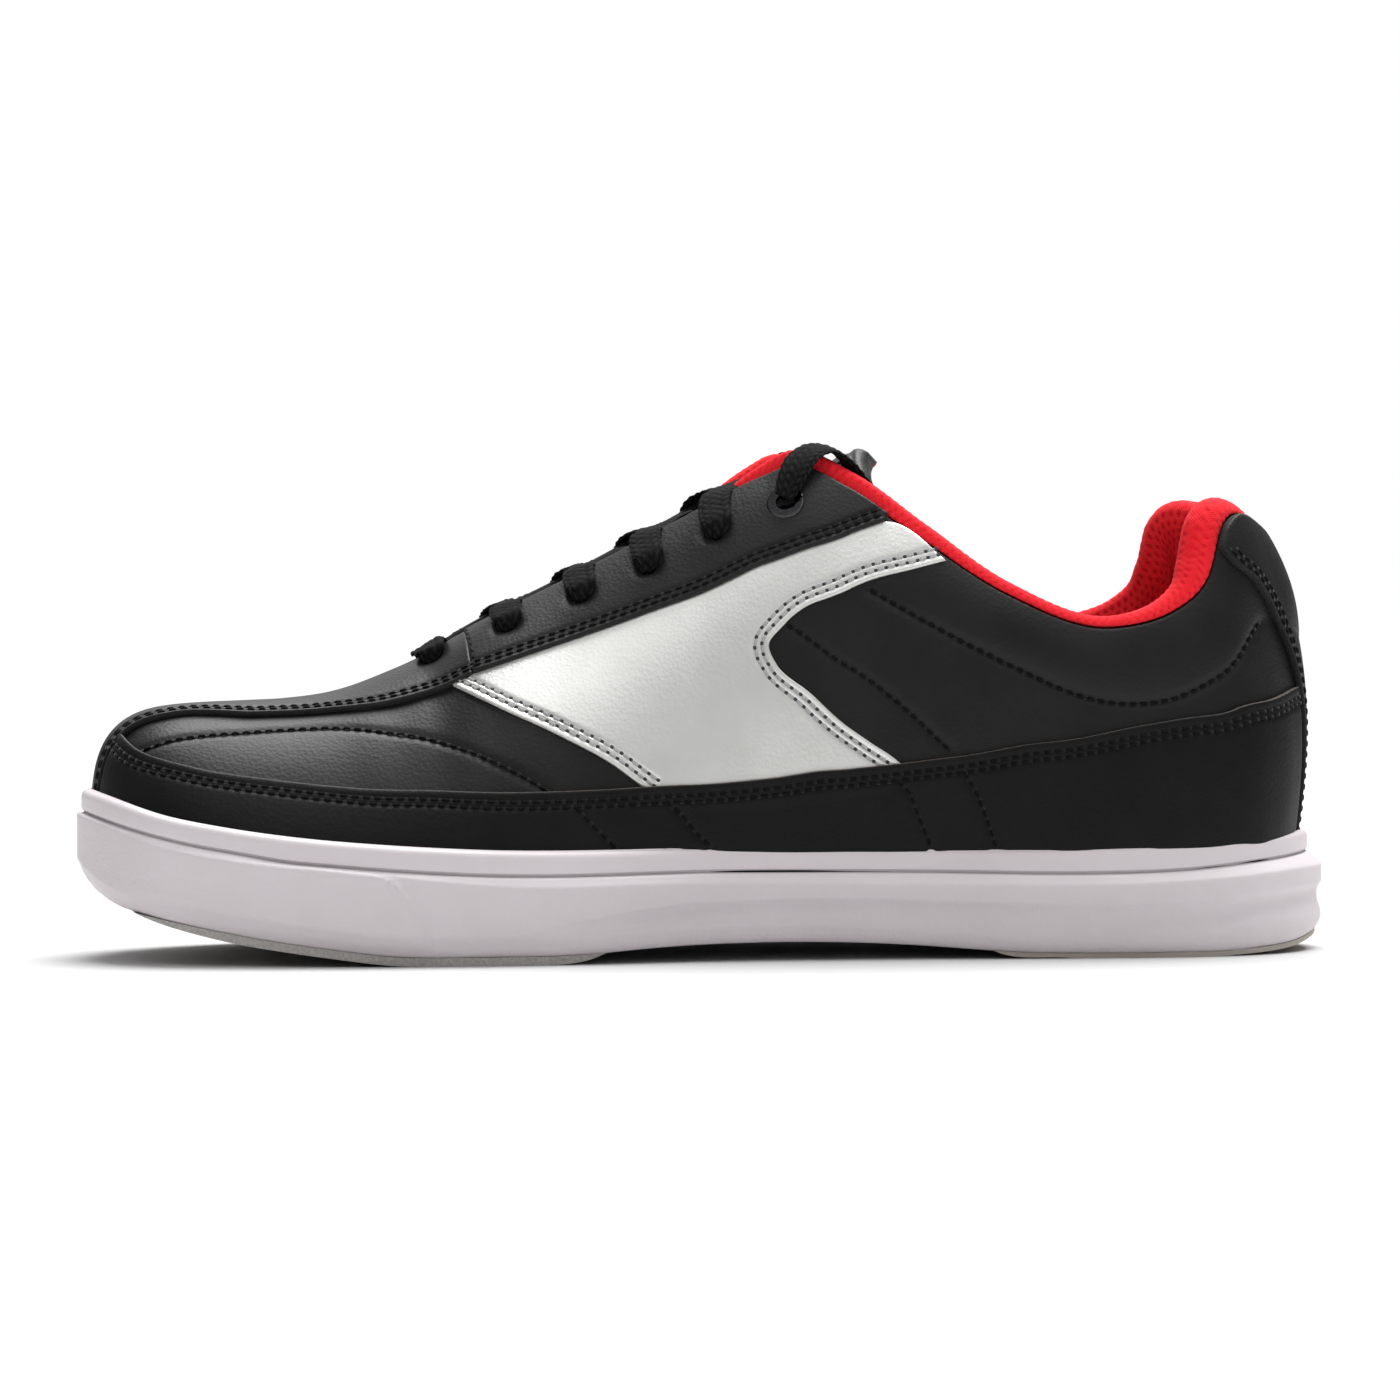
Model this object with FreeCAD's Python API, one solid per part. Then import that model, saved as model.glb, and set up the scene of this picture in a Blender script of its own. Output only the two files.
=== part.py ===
"""Bowling shoe for the right foot: moulded cup sole, stitched leather upper, padded collar and laces.

Frame: the toe points to -X, the inner (medial) side of the foot is -Y, +Z is up, the ground is z = 0.
The upper is one smooth surface, ring by rib: r runs once round the shoe (0 at the toe, 1 at the back of
the heel, 2 at the toe again) and t climbs a rib from the sole (0) to the crest or the topline (1).
Every panel, lining and stiffener is a patch of that surface between two distances from it.
"""
import FreeCAD, Part
import math
import os
from functools import lru_cache

V = FreeCAD.Vector

# ---- upper: one rib per row -------------------------------------------------------------------------
# s: place along one side, foot: where the rib leaves the sole (x, y medial, y lateral, z),
# head: where it ends (x, half opening, z), slope: degrees below level at the head,
# lean: degrees outwards at the foot, pull: length of the head's tangent as a share of the rib
RIBS = [
    # s     foot x  medial lateral  z     head x  half   z      slope lean  pull
    (0.000, -145.2, -9.0, -9.0, 30.0, -124.0, 0.0, 58.0, 0.0, 1.0, 0.56),
    (0.040, -143.2, -22.0, 4.5, 29.2, -121.5, 0.0, 58.3, 0.0, 1.0, 0.55),
    (0.080, -138.2, -32.0, 15.0, 27.6, -117.0, 0.0, 58.6, 0.0, 1.5, 0.50),
    (0.130, -128.5, -40.5, 26.0, 24.8, -109.5, 0.0, 58.9, 0.0, 2.0, 0.44),
    (0.190, -115.5, -46.0, 35.5, 21.8, -100.0, 0.0, 59.4, 0.0, 2.5, 0.42),
    (0.260, -98.5, -49.3, 43.5, 19.5, -88.5, 0.0, 61.1, 0.0, 3.0, 0.42),
    (0.330, -80.0, -50.0, 48.5, 18.2, -77.5, 0.0, 64.9, 0.0, 3.0, 0.41),
    (0.370, -69.0, -49.5, 50.0, 18.0, -69.0, 0.0, 68.6, 0.0, 3.0, 0.38),
    (0.420, -55.0, -48.3, 50.0, 18.0, -56.0, 7.0, 76.4, 12.0, 3.0, 0.33),
    (0.500, -32.0, -45.2, 49.0, 18.0, -33.0, 10.5, 88.0, 20.0, 3.0, 0.28),
    (0.580, -8.0, -41.5, 46.0, 18.0, -8.0, 14.0, 101.4, 28.0, 3.0, 0.27),
    (0.635, 10.0, -39.4, 43.5, 18.0, 12.0, 17.0, 112.0, 36.0, 3.0, 0.27),
    (0.665, 20.0, -38.6, 42.0, 18.0, 20.0, 19.5, 114.6, 45.0, 3.0, 0.27),
    (0.695, 29.0, -38.0, 41.0, 18.0, 30.0, 23.5, 110.2, 58.0, 3.0, 0.29),
    (0.745, 46.0, -37.4, 39.5, 18.0, 46.5, 29.0, 99.0, 68.0, 3.0, 0.31),
    (0.805, 67.0, -37.4, 38.5, 18.0, 67.5, 33.3, 85.2, 76.0, 3.0, 0.33),
    (0.865, 90.0, -37.8, 38.0, 18.0, 91.0, 34.3, 77.4, 82.0, 3.5, 0.33),
    (0.905, 106.5, -36.8, 36.8, 18.0, 107.5, 31.8, 81.2, 82.0, 5.0, 0.33),
    (0.935, 119.0, -33.8, 33.8, 18.0, 116.5, 28.3, 89.0, 80.0, 6.5, 0.33),
    (0.960, 129.3, -27.8, 27.8, 18.0, 121.5, 23.5, 102.3, 76.0, 8.0, 0.33),
    (0.978, 135.5, -19.5, 19.5, 18.0, 127.0, 16.5, 104.0, 72.0, 9.9, 0.34),
    (0.990, 139.0, -10.5, 10.5, 18.0, 133.0, 8.7, 100.4, 69.0, 11.1, 0.35),
    (1.000, 140.1, 0.0, 0.0, 18.0, 135.5, 0.0, 98.4, 68.0, 11.7, 0.355),
]
# middle of the crest and of the lace opening, seen from above (x, y)
MIDDLE = [(-150.0, -9.0), (-120.0, -8.0), (-70.0, -3.5), (-20.0, -1.0), (20.0, 0.0), (150.0, 0.0)]
SLIT_START = 0.370
SLIT_FULL = 0.420
SLIT_HALF = 7.0
SLIT_FLARE = 5.15
# length of the foot's tangent as a share of the rib's height, (s, share)
FOOT_PULL = [(0.0, 0.60), (0.08, 0.55), (0.13, 0.46), (0.19, 0.42), (1.0, 0.42)]

# ---- lines on the side of the upper, (x, z) ---------------------------------------------------------
# edge of the toe strip, as (s, t)
STRIP_EDGE = [(0.026, 0.02), (0.027, 0.35), (0.030, 0.52), (0.040, 0.66), (0.0705, 0.77), (0.170, 0.785),
              (0.2645, 0.765), (0.337, 0.718), (0.3815, 0.705), (0.4125, 0.7246)]
EYESTAY_LOW = [(-57.2, 66.2), (-45.1, 70.4), (-18.8, 79.8), (7.5, 90.9), (20.7, 95.8), (31.8, 99.6),
               (37.0, 101.6)]
GUARD_TOP = [(-135.0, 48.3), (-123.4, 44.7), (-104.4, 41.8), (-77.0, 39.7), (-48.0, 39.3),
             (-19.5, 40.5), (20.0, 43.9), (53.4, 47.2), (76.0, 50.6), (98.3, 54.3), (110.0, 56.1),
             (122.0, 58.2), (129.0, 59.8), (136.0, 61.6)]
STRIPE_FRONT = [(-21.4, 41.6), (-26.3, 45.3), (-39.3, 52.5), (-52.3, 58.6), (-58.5, 61.6)]
STRIPE_REAR = [(39.5, 47.0), (33.7, 50.8), (20.5, 61.5), (11.8, 69.0), (10.2, 73.3), (14.0, 78.2),
               (24.0, 84.2), (35.0, 88.6), (50.0, 93.0)]
# how far the stripe's edges run past the guard's and the eyestay's, as shares of a rib
STRIPE_LOW_GAP = 0.012
STRIPE_HIGH_GAP = 0.014
# the stripe follows the eyestay up to this s, then rises to its corner at the topline
STRIPE_STAY_END = 0.70
STRIPE_CORNER = (0.728, 0.978)
EYESTAY_END = 0.7215

# ---- layers, as distances from the upper's surface ---------------------------------------------------
LEATHER = (-1.2, 0.0)
OVERLAY = (0.15, 1.35)
STRIPE = (0.1, 1.0)
STIFFENER = (-2.1, -1.65)
LINING = (-3.1, -2.3)
PANEL_GAP = 0.0025
TUCK = 0.02

# ---- sole -------------------------------------------------------------------------------------------
# plan outline, (x, y), from the toe along the medial side to the heel and back along the lateral side
SOLE_MEDIAL = [(-150.0, -11.0), (-145.5, -28.5), (-135.0, -41.5), (-118.0, -49.0), (-95.0, -54.0),
               (-65.0, -55.1), (-35.0, -52.0), (0.0, -44.5), (35.0, -42.0), (75.0, -42.5), (105.0, -42.0),
               (125.0, -37.0), (140.0, -25.5), (147.5, -12.5)]
SOLE_LATERAL = [(150.0, 0.0), (147.5, 12.5), (140.0, 25.5), (125.0, 37.5), (105.0, 42.5), (75.0, 43.5),
                (35.0, 46.5), (0.0, 51.3), (-35.0, 54.6), (-65.0, 54.5), (-95.0, 48.6), (-118.0, 38.5),
                (-135.0, 24.5), (-145.5, 8.0)]
# side profiles, (x, z)
RIM_TOP = [(-155.0, 41.0), (-146.0, 38.6), (-134.7, 35.0), (-119.8, 32.0), (-102.8, 29.6), (-80.0, 27.6),
           (-58.0, 26.4), (0.0, 26.2), (74.0, 25.3), (107.0, 25.9), (128.0, 27.2), (155.0, 29.0)]
CUP_FLOOR = [
    [(-155.0, 28.6), (-140.0, 25.4), (-128.0, 21.7), (-115.0, 18.7), (-98.0, 16.4), (-80.0, 15.2),
     (-65.0, 15.0)],
    [(-65.0, 15.0), (155.0, 15.0)],
]
# underside of the cup sole: toe spring, flat, waist, flat, rolled heel
SOLE_BOTTOM = [
    [(-155.0, 25.0), (-150.0, 19.9), (-147.0, 16.9), (-144.0, 14.8), (-140.9, 13.2), (-135.0, 11.5),
     (-128.0, 10.0), (-120.0, 8.35), (-115.9, 7.6), (-103.0, 5.4), (-90.0, 3.6), (-80.0, 2.4), (-72.0, 2.0)],
    [(-72.0, 2.0), (-42.0, 2.0)],
    [(-42.0, 2.0), (-30.0, 2.6), (-16.0, 3.6), (5.0, 4.3), (25.0, 4.2), (45.0, 3.3), (62.0, 2.0),
     (72.0, 1.4), (82.0, 1.2)],
    [(82.0, 1.2), (118.0, 1.2)],
    [(118.0, 1.2), (128.0, 1.8), (138.0, 2.8), (146.0, 4.8), (155.0, 8.7)],
]
PAD_BOTTOM = [
    [(-138.0, 12.4), (-134.0, 10.6), (-128.0, 8.6), (-120.0, 6.5), (-115.9, 5.6), (-103.0, 3.4),
     (-90.0, 1.6), (-80.0, 0.4), (-72.0, 0.0)],
    [(-72.0, 0.0), (-42.0, 0.0)],
    [(-42.0, 0.0), (-36.0, 0.5), (-31.0, 1.8), (-28.0, 3.4)],
]
HEEL_PAD_BOTTOM = [
    [(61.0, 3.0), (65.0, 1.1), (72.0, 0.25), (82.0, 0.0)],
    [(82.0, 0.0), (118.0, 0.0)],
    [(118.0, 0.0), (128.0, 0.6), (138.0, 1.6), (146.0, 3.6), (155.0, 7.5)],
]
PAD_INSET = 2.4
HEEL_PAD_INSET = 1.6
# layers on the floor of the cup, as heights above it
FILLER = (0.0, 2.8)
BOARD = (2.9, 4.7)
SOCK_FOAM = (4.8, 9.0)
SOCK_COVER = (9.1, 9.8)
FILLER_INSET = 0.4
BOARD_INSET = 3.6
SHANK = (95.0, 11.0, 1.4)
SHANK_CORNER = (-15.0, -3.5, 16.1)
SOLE_TOP = 50.0
# how far the wall stands inside the plan outline at each height
WALL = [(-1.0, 3.6), (2.0, 1.9), (5.5, 0.6), (10.0, 0.0), (18.0, 0.0), (SOLE_TOP, 0.0)]


def track(points, x):
    """Smooth curve through (x, value) points, straight slopes at both ends."""
    last = len(points) - 2
    i = 0
    while i < last and x > points[i + 1][0]:
        i += 1
    slopes = []
    for k in (i, i + 1):
        if k == 0:
            slopes.append(chord(points, 0))
        elif k == last + 1:
            slopes.append(chord(points, last))
        else:
            before = points[k][0] - points[k - 1][0]
            after = points[k + 1][0] - points[k][0]
            slopes.append((chord(points, k - 1) * after + chord(points, k) * before) / (before + after))
    x0, y0 = points[i]
    x1, y1 = points[i + 1]
    h = x1 - x0
    u = (x - x0) / h
    stay = 2 * u ** 3 - 3 * u ** 2 + 1
    return (stay * y0 + (1 - stay) * y1 + (u ** 3 - 2 * u ** 2 + u) * h * slopes[0]
            + (u ** 3 - u ** 2) * h * slopes[1])


def chord(points, i):
    return (points[i + 1][1] - points[i][1]) / (points[i + 1][0] - points[i][0])


def mix(a, b, share):
    return a * (1 - share) + b * share


def spread(count):
    return [i / (count - 1) for i in range(count)]


# ---- the upper's surface ----------------------------------------------------------------------------
def ring(medial, lateral):
    """One column once round the shoe, and a little more at both ends so that the curve closes."""
    stations = [row[0] for row in RIBS]
    lap = list(zip(stations, medial))
    lap += [(2 - s, value) for s, value in reversed(list(zip(stations, lateral)))][1:]
    return [(r - 2, value) for r, value in lap[-5:-1]] + lap + [(r + 2, value) for r, value in lap[1:5]]


def column(index):
    return ring([row[index] for row in RIBS], [row[index] for row in RIBS])


FOOT_X = column(1)
FOOT_Y = ring([row[2] for row in RIBS], [row[3] for row in RIBS])
FOOT_Z = column(4)
HEAD_X = column(5)
HEAD_HALF = ring([-row[6] for row in RIBS], [row[6] for row in RIBS])
HEAD_Z = column(7)
SLOPE = column(8)
LEAN = column(9)
PULL = column(10)


def half_opening(r):
    """Signed half width of the lace opening, which widens smoothly from its front end."""
    s = min(abs(r), 2 - r)
    side = -1 if 0 <= r <= 1 else 1
    if s < SLIT_START:
        return 0.0
    if s < SLIT_FULL:
        done = (s - SLIT_START) / (SLIT_FULL - SLIT_START)
        return side * done ** 2 * (SLIT_HALF * (3 - 2 * done) + SLIT_FLARE * (done - 1))
    return track(HEAD_HALF, r)


@lru_cache(maxsize=None)
def rib(r):
    """The four Bezier points of one rib."""
    foot = V(track(FOOT_X, r), track(FOOT_Y, r), track(FOOT_Z, r))
    head_x = track(HEAD_X, r)
    head = V(head_x, track(MIDDLE, head_x) + half_opening(r), track(HEAD_Z, r))
    out = V(foot.x - head.x, foot.y - head.y, 0)
    out.normalize()
    up = V(0, 0, 1)
    lean = math.radians(track(LEAN, r))
    slope = math.radians(track(SLOPE, r))
    rise = track(FOOT_PULL, min(abs(r), 2 - r)) * (head.z - foot.z)
    low = foot + (up * math.cos(lean) + out * math.sin(lean)) * rise
    reach = track(PULL, r) * (head - foot).Length
    high = head + (out * math.cos(slope) - up * math.sin(slope)) * reach
    return foot, low, high, head


def point(r, t):
    """A point of the upper's surface; above t = 1 a rib runs straight on."""
    foot, low, high, head = rib(round(r, 6))
    k = min(t, 1.0)
    place = foot * (1 - k) ** 3 + low * (3 * (1 - k) ** 2 * k) + high * (3 * (1 - k) * k * k) + head * k ** 3
    return place + (head - high) * (3 * max(t - 1, 0))


def normal(r, t):
    """Outward direction of the upper's surface."""
    step = 0.001
    if min(abs(r), abs(2 - r)) < 0.03:
        t = min(t, 0.96)
    along = point(r + step, t) - point(r - step, t)
    climb = point(r, t + step) - point(r, t - step)
    direction = along.cross(climb)
    direction.normalize()
    return direction


def layer(r, t, distance):
    return point(r, t) + normal(r, t) * distance


def locate(miss, r, t, side):
    """Newton's method on the surface: the (r, t) where miss(point) is (0, 0)."""
    step = 0.0005
    low, high = (0.0, 1.0) if side < 0 else (1.0, 2.0)
    for _ in range(25):
        a, b = miss(point(r, t))
        if abs(a) + abs(b) < 1e-4:
            break
        ar, br = miss(point(r + step, t))
        at, bt = miss(point(r, t + step))
        ar, br, at, bt = (ar - a) / step, (br - b) / step, (at - a) / step, (bt - b) / step
        det = ar * bt - at * br
        if abs(det) < 1e-9:
            break
        move_r = (a * bt - at * b) / det
        move_t = (ar * b - a * br) / det
        r = min(max(r - max(min(move_r, 0.03), -0.03), low), high)
        t = min(max(t - max(min(move_t, 0.08), -0.08), 0.0), 1.5)
    return r, t


def on_side(line):
    """(s, t) of each (x, z) point of a line drawn on the medial side."""
    seeds = [(i / 50, j / 12) for i in range(51) for j in range(13)]
    places = []
    for x, z in line:
        nearest = min(seeds, key=lambda st: (point(*st).x - x) ** 2 + (point(*st).z - z) ** 2)
        places.append(locate(lambda p: (p.x - x, p.z - z), nearest[0], nearest[1], -1))
    return places


def mirrored(places, side):
    return [(s if side < 0 else 2 - s, t) for s, t in places]


def smooth(places):
    """Curve through (r, t) places as a function of a share 0..1 of its length in millimetres."""
    spans = [0.0]
    for a, b in zip(places, places[1:]):
        spans.append(spans[-1] + (point(*b) - point(*a)).Length)
    marks = [span / spans[-1] for span in spans]
    across = list(zip(marks, [r for r, t in places]))
    upward = list(zip(marks, [t for r, t in places]))
    return lambda share: (track(across, share), track(upward, share))


def patch(low, high, front=None, rear=None):
    """Place (r, t) at shares (u, v) of a four-sided region with the given edge curves."""
    front = front or (lambda v: (mix(low(0)[0], high(0)[0], v), mix(low(0)[1], high(0)[1], v)))
    rear = rear or (lambda v: (mix(low(1)[0], high(1)[0], v), mix(low(1)[1], high(1)[1], v)))

    def place(u, v):
        result = []
        for k in (0, 1):
            edges = mix(low(u)[k], high(u)[k], v) + mix(front(v)[k], rear(v)[k], u)
            corners = mix(mix(low(0)[k], low(1)[k], u), mix(high(0)[k], high(1)[k], u), v)
            result.append(edges - corners)
        return tuple(result)

    return place


# ---- solids -----------------------------------------------------------------------------------------
def chords(lines):
    """Shares 0..1 of the mean chord length along a set of lines with equal counts."""
    spans = [0.0]
    for i in range(len(lines[0]) - 1):
        spans.append(spans[-1] + sum((line[i + 1] - line[i]).Length for line in lines) / len(lines))
    return [span / spans[-1] for span in spans]


def through(points, shares):
    curve = Part.BSplineCurve()
    curve.interpolate(Points=points, Parameters=shares)
    return curve


def sheet_surface(grid, along, across):
    """Smooth surface through a grid of points, interpolated first along the rows, then across them."""
    rows = [through(line, across) for line in grid]
    columns = [through(list(poles), along) for poles in zip(*[row.getPoles() for row in rows])]
    surface = Part.BSplineSurface()
    poles = [list(line) for line in zip(*[curve.getPoles() for curve in columns])]
    u, v = columns[0], rows[0]
    surface.buildFromPolesMultsKnots(poles, u.getMultiplicities(), v.getMultiplicities(),
                                     u.getKnots(), v.getKnots(), False, False, u.Degree, v.Degree)
    return surface


def slab(outer, inner):
    """Closed solid between two grids of points with the same layout."""
    across = chords(outer)
    along = chords(list(zip(*outer)))
    skins = [sheet_surface(grid, along, across) for grid in (outer, inner)]
    faces = [skin.toShape() for skin in skins]
    u0, u1, v0, v1 = skins[0].bounds()
    for pair in ([skin.uIso(u0) for skin in skins], [skin.uIso(u1) for skin in skins],
                 [skin.vIso(v0) for skin in skins], [skin.vIso(v1) for skin in skins]):
        faces.append(ruled(*pair))
    return closed(faces)


def ruled(a, b):
    """Side face between two curves with the same knots."""
    surface = Part.BSplineSurface()
    surface.buildFromPolesMultsKnots([a.getPoles(), b.getPoles()], [2, 2], a.getMultiplicities(), [0.0, 1.0],
                                     a.getKnots(), False, False, 1, a.Degree)
    return surface.toShape()


def closed(faces):
    shell = Part.makeShell(faces)
    shell.sewShape()
    solid = Part.makeSolid(shell if shell.ShapeType == "Shell" else shell.Shells[0])
    return solid if solid.Volume > 0 else solid.reversed()


def panel(place, between, grid):
    """Solid patch of the upper between two distances from its surface."""
    columns, rows = grid
    grids = []
    for distance in reversed(between):
        grids.append([[layer(*place(u, v), distance) for v in spread(rows)] for u in spread(columns)])
    return slab(*grids)


# ---- outer panels -----------------------------------------------------------------------------------
SIDES = (("medial", -1), ("lateral", 1))
SEAM_S = 0.578
HEEL_SEAM = 0.996
TOE_SEAM = 0.004
EDGE_T = 0.998
GUARD_FRONT = (0.0315, 0.56)
GUARD_REAR = 0.9855
GUARD_REAR_T = 0.505
# half width of the heel tab, as (t, share of the ring)
TAB_HALF = [(0.02, 0.011), (0.45, 0.011), (0.56, 0.014), (0.68, 0.020), (0.80, 0.032), (0.90, 0.045),
            (1.0, 0.052)]
# eyelet centres, as (s, t), from the toe to the ankle
EYELETS = [(0.3824, 0.895), (0.4451, 0.874), (0.5039, 0.859), (0.5553, 0.850), (0.6017, 0.857),
           (0.6511, 0.868)]
# the toe panels hold the eyelets before this one, the quarters the rest
FIRST_QUARTER_EYELET = 4
HOLE_RADIUS = 2.3
RING_HOLE_RADIUS = 3.1
RING_BARREL = (2.9, 2.3)
RING_FLANGE = (4.45, 0.8)
HOLE_REACH = 16.0
# places along the front of the lace opening, and across the toe strip
THROAT_STATIONS = (0.374, 0.378, 0.383, 0.389, 0.396, 0.404, 0.413, 0.43)
STRIP_ROWS = 26
STRIP_TURN = (-80.0, -64.0)
STRIP_COLUMNS = (0.0, 0.14, 0.28, 0.42, 0.5, 0.58, 0.72, 0.86, 1.0)
# grid points of each panel, along and across
PANEL_GRID = (60, 13)
GUARD_GRID = (36, 6)
EYESTAY_GRID = (30, 8)
STRIPE_GRID = (26, 14)
TAB_GRID = (20, 9)
PUFF_GRID = (73, 9)
COUNTER_GRID = (31, 6)
LINING_GRID = (40, 10)


def straight(a, b):
    return lambda share: (mix(a[0], b[0], share), mix(a[1], b[1], share))


def base_panel(side, start, end, between, top):
    """Leather or lining panel under the overlays, from ring place start to end."""
    ends = mirrored([(start, TUCK), (end, TUCK), (start, top), (end, top)], side)
    return panel(patch(straight(ends[0], ends[1]), straight(ends[2], ends[3])), between, PANEL_GRID)


def punched(solid, side, eyelets):
    """Solid with its lacing holes; a hole's axis is square to the upper."""
    for index in eyelets:
        r, t = mirrored([EYELETS[index]], side)[0]
        axis = normal(r, t)
        radius = RING_HOLE_RADIUS if index == len(EYELETS) - 1 else HOLE_RADIUS
        start = point(r, t) - axis * (HOLE_REACH / 2)
        solid = solid.cut(Part.makeCylinder(radius, HOLE_REACH, start, axis))
    return solid


def guard(side):
    line = [GUARD_FRONT] + on_side(GUARD_TOP) + [(GUARD_REAR, GUARD_REAR_T)]
    foot = [(s, TUCK) for s, t in line]
    place = patch(smooth(mirrored(foot, side)), smooth(mirrored(line, side)))
    return panel(place, OVERLAY, GUARD_GRID)


def eyestay(side):
    low = on_side(EYESTAY_LOW)
    low[0] = (STRIP_EDGE[-1][0] + PANEL_GAP, low[0][1])
    high = [(mix(low[0][0], EYESTAY_END, share), EDGE_T) for share in spread(9)]
    return panel(patch(smooth(mirrored(low, side)), smooth(mirrored(high, side))), OVERLAY, EYESTAY_GRID)


def stripe(side):
    """Silver saddle stripe: slanted front edge, notched rear edge."""
    front = on_side(STRIPE_FRONT)
    rear = on_side(STRIPE_REAR)
    stay = on_side(EYESTAY_LOW)
    guard_line = [place for place in on_side(GUARD_TOP) if front[0][0] < place[0] < rear[0][0]]
    stay_line = [place for place in stay if front[-1][0] < place[0] < STRIPE_STAY_END]
    low = [front[0]] + [(s, t + STRIPE_LOW_GAP) for s, t in guard_line] + [rear[0]]
    high = [front[-1]] + [(s, t - STRIPE_HIGH_GAP) for s, t in stay_line] + [STRIPE_CORNER, rear[-1]]
    edges = [smooth(mirrored(line, side)) for line in (low, high, front, rear)]
    return panel(patch(*edges), STRIPE, STRIPE_GRID)


def vamp_strip():
    """Strip from the sole over the toe to the lace opening, with the first eyelet on each side."""
    edge = smooth(STRIP_EDGE)
    rows = []
    places = [edge(share) for share in spread(STRIP_ROWS)]
    for s, t in places:
        rows.append((point(s, t), point(2 - s, t)))
    outer, inner = [], []
    for i, (medial, lateral) in enumerate(rows):
        before = rows[max(i - 1, 0)]
        after = rows[min(i + 1, len(rows) - 1)]
        along = (after[0] + after[1]) - (before[0] + before[1])
        along = V(along.x, 0, along.z)
        along.normalize()
        # the last rows turn upright, to meet the eyestays
        upright = min(max((medial.x - STRIP_TURN[0]) / (STRIP_TURN[1] - STRIP_TURN[0]), 0.0), 1.0)
        along = along * (1 - upright) + V(1, 0, 0) * upright
        along.normalize()
        s, t = places[i]
        outer.append([])
        inner.append([])
        guess = {-1: (s, t), 1: (2 - s, t)}
        crossed = False
        for v in STRIP_COLUMNS:
            level = mix(medial.dot(along), lateral.dot(along), v)
            y = mix(medial.y, lateral.y, v)
            side = -1 if v <= 0.5 else 1
            if side > 0 and not crossed:
                guess[1] = (2 - guess[-1][0], guess[-1][1])
                crossed = True
            found = locate(lambda p: (p.dot(along) - level, p.y - y), guess[side][0], guess[side][1], side)
            guess[side] = found
            outer[-1].append(layer(*found, OVERLAY[1]))
            inner[-1].append(layer(*found, OVERLAY[0]))
    strip = slab(outer, inner)
    strip = strip.cut(throat_cutter())
    for name, side in SIDES:
        strip = punched(strip, side, [0])
    return strip


def throat_cutter():
    """Upright prism with the plan shape of the front of the lace opening."""
    medial = [point(s, EDGE_T) for s in THROAT_STATIONS]
    lateral = [point(2 - s, EDGE_T) for s in THROAT_STATIONS]
    outline = [V(p.x, p.y, 0) for p in reversed(medial[1:])]
    outline += [V(medial[0].x, (medial[0].y + lateral[0].y) / 2, 0)]
    outline += [V(p.x, p.y, 0) for p in lateral[1:]]
    curve = Part.BSplineCurve()
    curve.interpolate(outline)
    closing = Part.LineSegment(outline[-1], outline[0]).toShape()
    face = Part.Face(Part.Wire([curve.toShape(), closing]))
    return face.extrude(V(0, 0, 120))


def heel_tab():
    edge = [(1 - half, t) for t, half in TAB_HALF]
    other = [(1 + half, t) for t, half in TAB_HALF]
    low, high = smooth(edge), smooth(other)
    return panel(patch(low, high), OVERLAY, TAB_GRID)


# ---- inner layers -----------------------------------------------------------------------------------
# the toe puff's reach round the toe and up its ribs, and the lower edge of the cloth inside it
PUFF_END = 0.185
PUFF_LOW = 0.16
PUFF_HIGH = 0.78
LINING_LOW = 0.26


def toe_puff():
    low = straight((-PUFF_END, PUFF_LOW), (PUFF_END, PUFF_LOW))
    high = straight((-PUFF_END, PUFF_HIGH), (PUFF_END, PUFF_HIGH))
    return panel(patch(low, high), STIFFENER, PUFF_GRID)


def heel_counter():
    low = straight((0.80, 0.03), (1.20, 0.03))
    high = smooth([(0.80, 0.36), (0.88, 0.56), (0.94, 0.52), (1.0, 0.50), (1.06, 0.52), (1.12, 0.56),
                   (1.20, 0.36)])
    return panel(patch(low, high), STIFFENER, COUNTER_GRID)


LINING_TOP = [(0.372, 0.965), (0.45, 0.965), (0.52, 0.960), (0.575, 0.940), (0.600, 0.820), (0.611, 0.690),
              (0.630, 0.615), (0.70, 0.60), (0.80, 0.60), (0.90, 0.60), (0.996, 0.60)]


def quarter_lining(side):
    foot = [(s, TUCK) for s, t in LINING_TOP]
    edges = [smooth(mirrored(line, side)) for line in (foot, LINING_TOP)]
    return panel(patch(*edges), LINING, LINING_GRID)


def vamp_lining():
    """Cloth inside the toe, from the crest down both sides, closed over the crest."""
    outer, inner = [], []
    for s in [mix(0.06, 0.366, share) for share in spread(20)]:
        climb = (LINING_LOW, 0.42, 0.6, 0.8, 0.95)
        arch = [(s, t) for t in climb] + [(s, 1.0)] + [(2 - s, t) for t in reversed(climb)]
        outer.append([layer(r, t, LINING[1]) for r, t in arch])
        inner.append([layer(r, t, LINING[0]) for r, t in arch])
    return slab(outer, inner)


# ---- padded collar ----------------------------------------------------------------------------------
COLLAR_START = 0.615
# thickness of the padding round the collar, (s, mm)
PADDING = [(0.60, 1.6), (0.68, 2.6), (0.75, 3.8), (0.83, 5.0), (0.92, 6.0), (1.0, 6.5)]
COLLAR_LOW_T = 0.64
CLOTH = 0.8
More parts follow.
